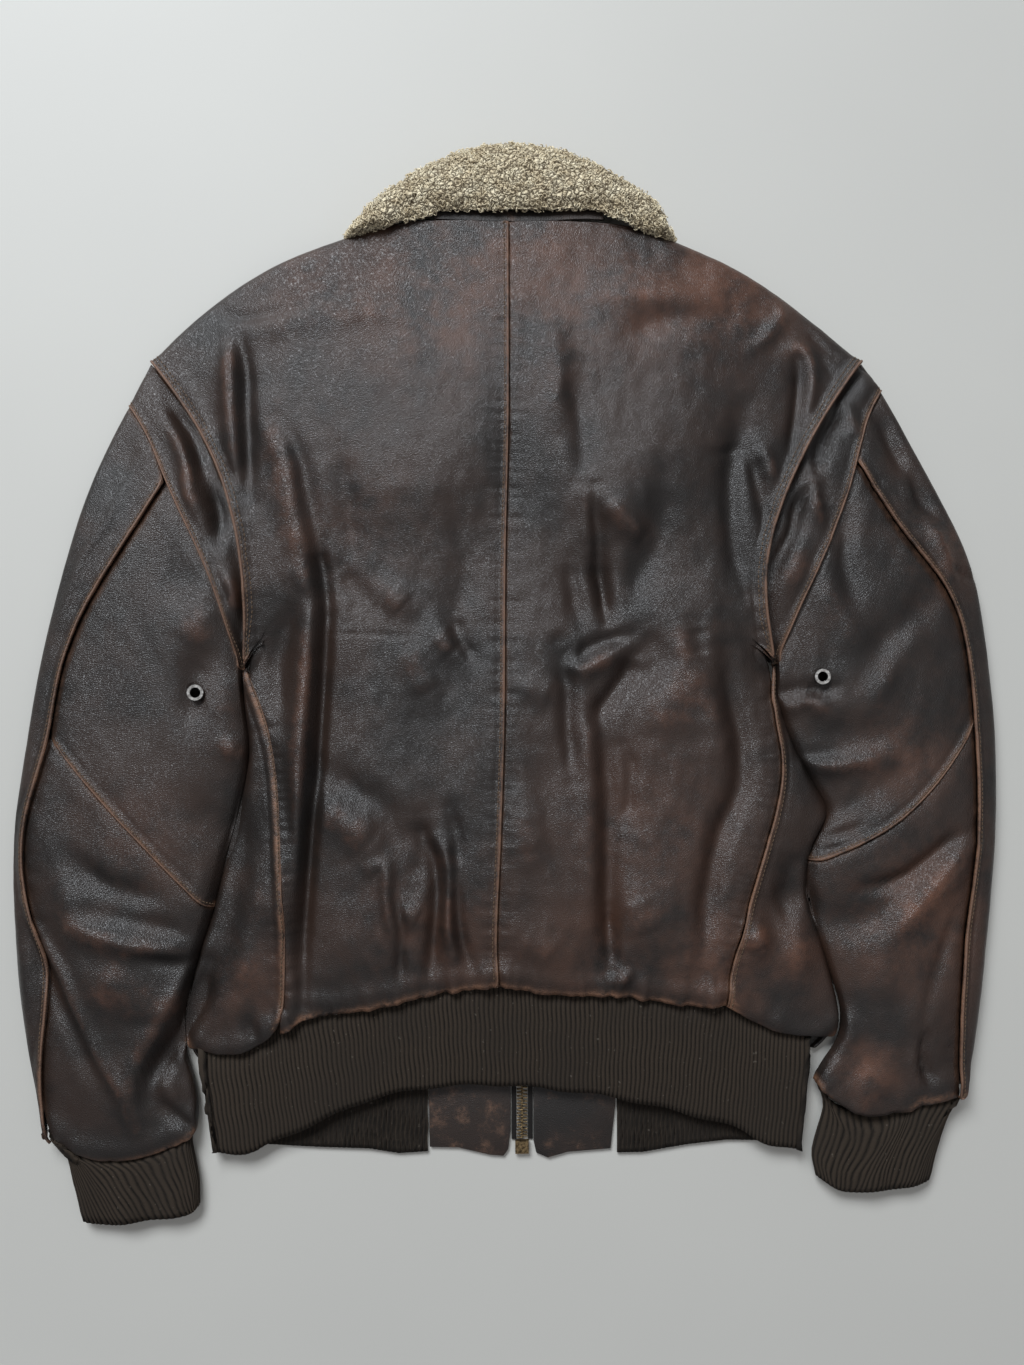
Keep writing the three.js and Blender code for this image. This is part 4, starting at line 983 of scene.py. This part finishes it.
def band_surface(u, v):
    """The band. The top tenth of its back is tucked under the leather."""
    at = u * band_length
    upper = places_at(band_upper, band_steps, at)
    lower = places_at(band_lower, band_steps, at)
    on_back = smooth(9, 13, upper[:, 2])
    tucked = np.maximum(0.12 - 1.12 * v, 0) * on_back
    v = np.maximum(v - 0.12 * (1 - v) * on_back, 0)
    place = upper + (lower - upper) * v[:, None]
    place[:, 1] += 70 * tucked
    place[:, 2] -= 12 * tucked
    swell = np.sin(math.pi * np.clip(v, 0, 1)) * 0.8
    waves = 0.9 * np.sin(u * 61 + 1.3 * np.sin(u * 23)) * v
    place[:, 2] += on_back * (swell + waves * 0.6)
    place[:, 1] += on_back * 0.9 * np.sin(u * 97) * v ** 3
    return place


waistband = ribbed_sheet("ribbed_waistband", band_surface, int(band_length / RIB_PITCH), 18, False)
print("waistband", round(band_length), "mm,", int(band_length / RIB_PITCH), "ribs")

# %% Cuffs
# Each cuff's four edges as it lies flat.
CUFFS = {
    "left": {
        "wrist": [(-349, -333), (-347, -337), (-344, -340), (-332, -351), (-306, -357), (-286, -356),
                  (-264, -350), (-246, -341), (-240, -334)],
        "end": [(-323, -404), (-300, -406), (-274, -403), (-245, -400), (-237, -393)],
        "outer": [(-346, -335), (-336, -350), (-330, -374), (-323, -404)],
        "inner": [(-241, -335), (-243, -346), (-238, -372), (-237, -393)],
    },
    "right": {
        "wrist": [(347, -314), (343, -318), (339, -320), (320, -321), (305, -323), (296, -333),
                  (280, -340), (258, -338), (242, -328), (229, -306)],
        "end": [(319, -388), (300, -392), (276, -394), (250, -394), (230, -383)],
        "outer": [(343, -319), (334, -337), (326, -360), (319, -388)],
        "inner": [(231, -309), (236, -330), (227, -362), (230, -383)],
    },
}


def line_at(line, share):
    """Places on a smooth line at shares of its number of points."""
    line = curve_through(line)
    return places_at(line, np.arange(len(line)), np.clip(share, 0, 1) * (len(line) - 1))


def bowed(line, u):
    """How far a line is from the straight one between its ends."""
    first, last = np.array(line[0], float), np.array(line[-1], float)
    return line_at(line, u) - first - (last - first) * u[:, None]


def height_round(angle):
    """The height of a flattened ring at each angle."""
    return HALF_HEIGHT * np.sign(np.sin(angle)) * np.abs(np.sin(angle)) ** 0.6


CUFF_WIDTH = 92
TUCKED = 0.16  # the share of a cuff's length that is tucked into the sleeve


def cuff_surface(shape):
    """A cuff's surface, as a function of the way round and the way along, and its length round."""
    def across(u, v):
        place = line_at(shape["outer"], v) * (1 - u)[:, None] + line_at(shape["inner"], v) * u[:, None]
        place += bowed(shape["wrist"], u) * (1 - v)[:, None] + bowed(shape["end"], u) * v[:, None]
        place[:, 1] -= 0.8 * (1 - v)
        return place

    turn = np.linspace(0, 2 * math.pi, 721)
    run = steps_of(np.column_stack([(1 - np.cos(turn)) / 2 * CUFF_WIDTH, height_round(turn)]))

    def surface(u, v):
        angle = np.interp(u * run[-1], run, turn)
        tucked = np.maximum(TUCKED - (1 + TUCKED) * v, 0) * np.sin(angle) ** 2
        v = np.maximum((1 + TUCKED) * v - TUCKED, 0)
        place = across((1 - np.cos(angle)) / 2, v)
        place[:, 1] += 75 * tucked
        level = HALF_HEIGHT + height_round(angle)
        upper = smooth(HALF_HEIGHT, 2 * HALF_HEIGHT, level)
        swell = 1.2 * np.sin(math.pi * v) + 0.8 * np.sin(place[:, 0] * 0.19) * v
        return np.column_stack([place, level + upper * (swell - 14 * tucked)])

    return surface, run[-1]


cuffs = {}
for side, shape in CUFFS.items():
    surface, around = cuff_surface(shape)
    cuffs[side] = ribbed_sheet(f"ribbed_cuff_{side}", surface, int(around / RIB_PITCH), 14, True)
    print("cuff", side, round(around), "mm round,", int(around / RIB_PITCH), "ribs")
knits = [waistband, *cuffs.values()]
for piece in knits:
    thicken(piece, KNIT_THICKNESS)
    knitted = points_of(piece)
    knitted[:, 2] = np.maximum(knitted[:, 2], 0)
    put_points(piece, knitted)

# %% [markdown]
# ## The sheepskin collar
# Curled pile is a mass of small locks; its finish darkens a net of gaps between locks as painted shade.
# The collar starts as the solid of its reach, rounded and then raised into round locks of about 4 mm by
# the distance to the nearest of many seeded points. Thousands of tiny bent hairs, one small curved cord
# put in many places, give it a loose, curly outline.

# %% Collar body
bm = solid_of("collar_fall")
bmesh.ops.join_triangles(bm, faces=bm.faces, angle_face_threshold=1.0, angle_shape_threshold=3.1)
bmesh.ops.recalc_face_normals(bm, faces=bm.faces)
collar = link("sheepskin_collar", written(bm, bpy.data.meshes.new("sheepskin_collar")))
rounded(collar, 3)
bm = opened(collar.data)
long_edges = [edge for edge in bm.edges if edge.calc_length() > 1.7 * MM]
bmesh.ops.subdivide_edges(bm, edges=long_edges, cuts=1, use_grid_fill=True)
bmesh.ops.triangulate(bm, faces=bm.faces)
written(bm, collar.data)

LOCKS = 5200
spots = points_of(collar)
normals = rows_of(collar, "normal")
rng = np.random.default_rng(11)
locks = spots[rng.choice(len(spots), LOCKS, replace=False)] + rng.normal(0, 0.4, (LOCKS, 3))
nearest = nearest_of(locks)
gaps = np.array([[hit[2] for hit in nearest.find_n(spot, 2)] for spot in spots])
body = np.clip((gaps[:, 1] - gaps[:, 0]) / 1.6, 0, 1)
clumps = np.array([noise.noise(Vector(spot) / 13) for spot in spots])
lift = 1.5 * np.sqrt(body) + 1.6 * clumps - 2.2
moved = spots + normals * lift[:, None]
beside_neck = smooth(52, 72, np.abs(spots[:, 0])) * smooth(352, 342, spots[:, 1])
moved[:, 1] -= 8 * beside_neck * smooth(18, 26, spots[:, 2])
moved[:, 2] = np.maximum(moved[:, 2], np.minimum(spots[:, 2], 0.1))
put_points(collar, moved)
shaded(collar.data)
print("collar faces", len(collar.data.polygons))

# %% Curls
CURLS = 3600
hair = bmesh.new()
bmesh.ops.create_circle(hair, cap_ends=True, segments=4, radius=0.34 * MM)
bmesh.ops.translate(hair, verts=hair.verts, vec=(1.5 * MM, 0, 0))
bmesh.ops.rotate(hair, verts=hair.verts, matrix=Matrix.Rotation(math.radians(90), 3, "X"), cent=(0, 0, 0))
bmesh.ops.spin(hair, geom=hair.faces[:] + hair.edges[:] + hair.verts[:], cent=(0, 0, 0), axis=(0, 0, 1),
               angle=math.radians(215), steps=5, use_merge=False, use_duplicate=False)
bmesh.ops.recalc_face_normals(hair, faces=hair.faces)
shown = [k for k in range(len(moved)) if normals[k][2] > -0.25 and moved[k][1] > 300]
curl_places = []
for k in rng.choice(shown, CURLS, replace=True):
    spin = rng.uniform(0, 2 * math.pi)
    tilt = Vector(normals[k]) + Vector(rng.normal(0, 0.75, 3))
    along = Vector((math.cos(spin), math.sin(spin), rng.normal(0, 0.5)))
    place = moved[k] + normals[k] * rng.uniform(-0.7, 0.5)
    curl_places.append(standing(place, along, tilt.normalized(), rng.uniform(0.7, 1.3)))
curls = many("sheepskin_curls", hair, curl_places)

# %% [markdown]
# ## Tabs, tapes and the strip under the collar
# These small pieces keep the shape of their solids. Their edges are rounded with a small bevel, the way
# a folded leather edge or a woven tape looks.

# %% Small flat pieces
def bevelled(bm, edges, radius, segments):
    """Rounds edges to a radius in millimetres."""
    bmesh.ops.bevel(bm, geom=edges, offset=radius * MM, segments=segments, affect="EDGES", profile=0.5,
                    material=-1)


def softened(node, name, radius):
    """A new object: a solid with its sharp edges rounded to a radius in millimetres."""
    bm = solid_of(node)
    bmesh.ops.recalc_face_normals(bm, faces=bm.faces)
    bmesh.ops.join_triangles(bm, faces=bm.faces, angle_face_threshold=0.05, angle_shape_threshold=3.1)
    sharp = [e for e in bm.edges if len(e.link_faces) == 2 and e.calc_face_angle() > math.radians(40)]
    bevelled(bm, sharp, radius, 2)
    piece = link(name, written(bm, bpy.data.meshes.new(name)))
    shaded(piece.data)
    return piece


tabs = {side: softened(f"hem_tab_{side}", f"hem_tab_leather_{side}", 0.5) for side in SIDES}
tapes = {side: softened(f"zip_tape_{side}", f"woven_tape_{side}", 0.25) for side in SIDES}
stand = softened("collar_stand", "collar_stand_leather", 0.35)

# %% [markdown]
# ## The zip
# A metal zip has separate teeth pressed onto its two tapes, one every 2.6 mm and shifted by half a step
# from side to side. One rounded tooth is made and put all the way up the front. The slider, its pull
# and the box at the foot stay as the solids, with a metal finish.

# %% Teeth
TOOTH_PITCH = 2.6
ASIDE = 1.6  # how far a tooth stands to its own side of the middle
tooth = bmesh.new()
bmesh.ops.create_cube(tooth, size=1)
bmesh.ops.scale(tooth, verts=tooth.verts, vec=(4.9 * MM, 0.95 * MM, 2.0 * MM))
bevelled(tooth, tooth.edges, 0.25, 1)
chain = points_of(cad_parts["zip_chain"])
chain_y = np.unique(chain[:, 1].round(1))
chain_z = np.array([chain[np.abs(chain[:, 1] - y) < 0.06][:, 2].mean() for y in chain_y])
zip_middle = (chain[:, 0].min() + chain[:, 0].max()) / 2
tooth_places = []
for k, y in enumerate(np.arange(chain_y[0] + 1.5, chain_y[-1] - 1, TOOTH_PITCH / 2)):
    before, z, after = np.interp([y - 1, y, y + 1], chain_y, chain_z)
    turn = Matrix.Rotation(math.atan2(after - before, 2), 4, "X")
    x = zip_middle + (ASIDE if k % 2 else -ASIDE)
    tooth_places.append(Matrix.Translation(Vector((x, y, z)) * MM) @ turn)
teeth = many("zip_teeth", tooth, tooth_places, soft=False)

# %% [markdown]
# ## Finishes
# Dark drum-dyed leather shows its wear where it rubs: a reddish brown on the raised folds and the
# shoulders, and bare tan along the seam edges. The wear comes from the relief and the seam distance
# kept on each point, broken up by noise, so nothing is painted by hand.

# %% Leather
# Places that are worn browner: x, y and reach in millimetres, and how much.
RUBBED = [
    (-55, 290, 62, 0.8), (-15, 318, 22, 0.8), (20, 322, 26, 0.8), (155, 297, 50, 0.9), (95, 290, 50, 0.7),
    (30, 290, 60, 0.6), (-150, 300, 40, 0.45), (150, -215, 45, 0.6), (100, -120, 70, 0.35),
    (60, -205, 50, 0.4), (300, -180, 60, 0.6), (300, -60, 40, 0.45), (268, -300, 22, 0.9),
    (-60, -190, 60, 0.35), (-280, -120, 40, 0.3), (205, -215, 35, 0.4), (-200, -225, 30, 0.4),
    (320, 100, 40, 0.35), (-120, 120, 50, 0.25),
]
for piece in panels.values():
    places = points_of(piece)
    worn = np.zeros(len(places))
    for x, y, reach, much in RUBBED:
        worn = np.maximum(worn, much * bell(np.hypot(places[:, 0] - x, places[:, 1] - y), reach))
    keep_value(piece.data, "rubbed", worn)


def leather_finish(name, kept, tan=0.0):
    """Leather: worn by the values kept on its points, or else by noise, the more so the larger tan is."""
    paint = Paint(name)
    broad = paint.noise(16, detail=4)
    patchy = paint.noise(70, detail=6, rough=0.65)
    speck = paint.noise(420, detail=4, rough=0.7)
    cells = paint.cells(paint.place(), 820)
    wrinkle = paint.noise(260, detail=5, rough=0.6)
    colour = paint.mix(paint.step(broad, 0.38, 0.62), (0.0095, 0.0068, 0.0054), (0.0215, 0.0122, 0.0085))
    if kept:
        raised = paint.step(paint.kept_value("relief") + patchy * 5 - 2.5, 1.2, 4.5)
        browned = paint.kept_value("rubbed") * 0.95 + raised * 0.4 + 0.02
        browned = browned * paint.step(patchy * 0.5 + broad * 0.6, 0.36, 0.72)
        colour = paint.mix(browned.clamped(), colour, (0.120, 0.050, 0.028))
        bared = paint.kept_value("edge_wear") * paint.step(patchy + speck * 0.35, 0.45, 0.85)
        colour = paint.mix(bared.clamped(), colour, (0.215, 0.105, 0.058))
        roughness = 0.35 + patchy * 0.13 - raised * 0.05 + bared * 0.2
    else:
        bared = paint.step(patchy + speck * 0.45 + broad * 0.5, 0.98 - tan, 1.4 - tan)
        colour = paint.mix(bared * 0.85, colour, (0.165, 0.088, 0.054))
        roughness = 0.50 + patchy * 0.15
    grain = cells * 4.5 + wrinkle * 1.5 + speck * 0.2
    return paint.finish(Base_Color=colour, Roughness=roughness, Normal=paint.bump(grain, 0.42, 0.32 * MM),
                        Specular_IOR_Level=0.52)


leather = leather_finish("worn_leather", True)
leather_edge = leather_finish("worn_edge", False, tan=0.36)
plain_leather = leather_finish("plain_leather", False)

# %% Knit, fur, tape, thread and metals
def knit_finish():
    """Wool rib, darkened between the ribs as painted shade, with a few pale fibres of lint."""
    paint = Paint("rib_knit")
    fuzz = paint.noise(900, detail=5, rough=0.7)
    lint = paint.step(paint.noise(330, detail=2), 0.71, 0.74)
    patch = paint.step(paint.noise(25), 0.35, 0.7)
    # Painted shade: the colour between the ribs is far darker than on their crests.
    raised = paint.step(paint.kept_value("rib") + fuzz * 0.5, 0.35, 1.25)
    colour = paint.mix(raised, (0.0060, 0.0047, 0.0036), (0.036, 0.0265, 0.0190))
    colour = paint.mix(patch * 0.35, colour, (0.020, 0.016, 0.013))
    colour = paint.mix(lint * 0.2, colour, (0.25, 0.22, 0.18))
    return paint.finish(Base_Color=colour, Roughness=0.95, Normal=paint.bump(fuzz, 0.7, 0.6 * MM),
                        Specular_IOR_Level=0.2)


def fur_finish(name, with_locks):
    """Sheepskin. Where with_locks is set, the gaps between its locks are darkened: painted shade."""
    paint = Paint(name)
    fuzz = paint.noise(1400, rough=0.7)
    tone = paint.noise(90, detail=4, rough=0.6)
    colour = paint.mix(paint.step(tone, 0.30, 0.72), (0.58, 0.48, 0.32), (0.84, 0.75, 0.55))
    height = fuzz
    if with_locks:
        swirl = paint.node("TexNoise", {}, {"Vector": paint.place(), "Scale": 230, "Detail": 2}, "Color")
        bent = paint.node("VectorMath", {"operation": "MULTIPLY_ADD"},
                          {0: swirl, 1: (0.005, 0.005, 0.005), 2: paint.place()})
        lock = paint.cells(bent, 290)
        # Painted shade: the colour is darkened in the gaps between the locks.
        colour = paint.mix(paint.step(lock, 0.0, 0.17), (0.075, 0.052, 0.030), colour)
        height = paint.step(lock, 0.0, 0.4) * 3 + fuzz * 0.6
    return paint.finish(Base_Color=colour, Roughness=0.93, Normal=paint.bump(height, 0.8, 0.8 * MM),
                        Specular_IOR_Level=0.15)


def metal_finish(name, dark, light, rough):
    paint = Paint(name)
    tarnish = paint.noise(480, detail=5, rough=0.65)
    colour = paint.mix(paint.step(tarnish, 0.36, 0.66), dark, light)
    return paint.finish(Base_Color=colour, Metallic=1.0, Roughness=rough + tarnish * 0.2,
                        Normal=paint.bump(tarnish, 0.25, 0.2 * MM))


def woven_finish(name, colour, scale):
    paint = Paint(name)
    weave = paint.node("TexWave", {"wave_type": "BANDS", "bands_direction": "DIAGONAL"},
                       {"Vector": paint.place(), "Scale": scale, "Distortion": 1.0}, "Fac")
    shade = paint.mix(weave, tuple(0.55 * c for c in colour), colour)
    return paint.finish(Base_Color=shade, Roughness=0.9, Normal=paint.bump(weave, 0.5, 0.3 * MM),
                        Specular_IOR_Level=0.2)


knit = knit_finish()
fur = fur_finish("sheepskin", True)
curl_fur = fur_finish("sheepskin_curls", False)
brass = metal_finish("antique_brass", (0.060, 0.042, 0.024), (0.30, 0.215, 0.115), 0.36)
silver = metal_finish("eyelet_metal", (0.30, 0.29, 0.28), (0.68, 0.67, 0.65), 0.24)
tape = woven_finish("zip_tape", (0.020, 0.018, 0.017), 900)
thread = woven_finish("thread", (0.150, 0.100, 0.066), 2500)

# %% Put the finishes on
small_leather = [*tabs.values(), stand]
for pieces, finish in ((panels.values(), leather), (welts, leather_edge), (small_leather, plain_leather),
                       (knits, knit), ([collar], fur), ([curls], curl_fur), ([teeth], brass),
                       ([stitches], thread), (tapes.values(), tape)):
    for piece in pieces:
        piece.data.materials.clear()
        piece.data.materials.append(finish)
for node in ("zip_box", "zip_slider", "zip_pull", "eyelet_left", "eyelet_right"):
    for material_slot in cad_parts[node].material_slots:
        material_slot.material = silver if "eyelet" in node else brass

# %% [markdown]
# ## What each piece is
# Every soft piece rides on the jacket's body, and the solid it stands in for is hidden.

def declared(piece, node=None):
    """Puts a piece on the jacket's body, in place of a solid or as one more detail."""
    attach(piece, "jacket")
    if node:
        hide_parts(node)


for name, piece in panels.items():
    declared(piece, name)
for welt in [*welts, stitches]:
    declared(welt)
for name, piece in panels.items():
    width, length, area = cuts[name]
    trims = [welt for welt in welts if welt["over"] == name]
    if name == "back_left":
        trims.append(stitches)
    part, side = name.rsplit("_", 1)
    below = f"sleeve_under_{side}" if "sleeve" in part else f"front_{side}"
    [panels[below]] if part in ON_TOP else []
for side in SIDES:
    declared(tabs[side], f"hem_tab_{side}")
for side in SIDES:
    declared(tapes[side], f"zip_tape_{side}")
declared(stand, "collar_stand")
NARROWEST = 10.1 * MM  # the least width that a sheet may have
for piece in [*tabs.values(), *tapes.values(), stand]:
    size = np.ptp(points_of(piece), axis=0) * MM
    area = sum(polygon.area for polygon in piece.data.polygons) / 2
    width = max(size[0] * max(1.0, area / (size[0] * size[1])), NARROWEST)
declared(waistband, "waistband")
for side, piece in cuffs.items():
    declared(piece, f"cuff_{side}")
    around = np.ptp(points_of(piece)[:, 0]) * MM * 2.05
declared(collar, "collar_fall")
declared(curls)
declared(teeth, "zip_chain")

# %% Sizes
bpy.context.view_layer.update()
shown_meshes = [piece.data for piece in bpy.data.objects if piece.type == "MESH" and not piece.hide_render]
print("triangles", sum(len(face.vertices) - 2 for mesh in shown_meshes for face in mesh.polygons))
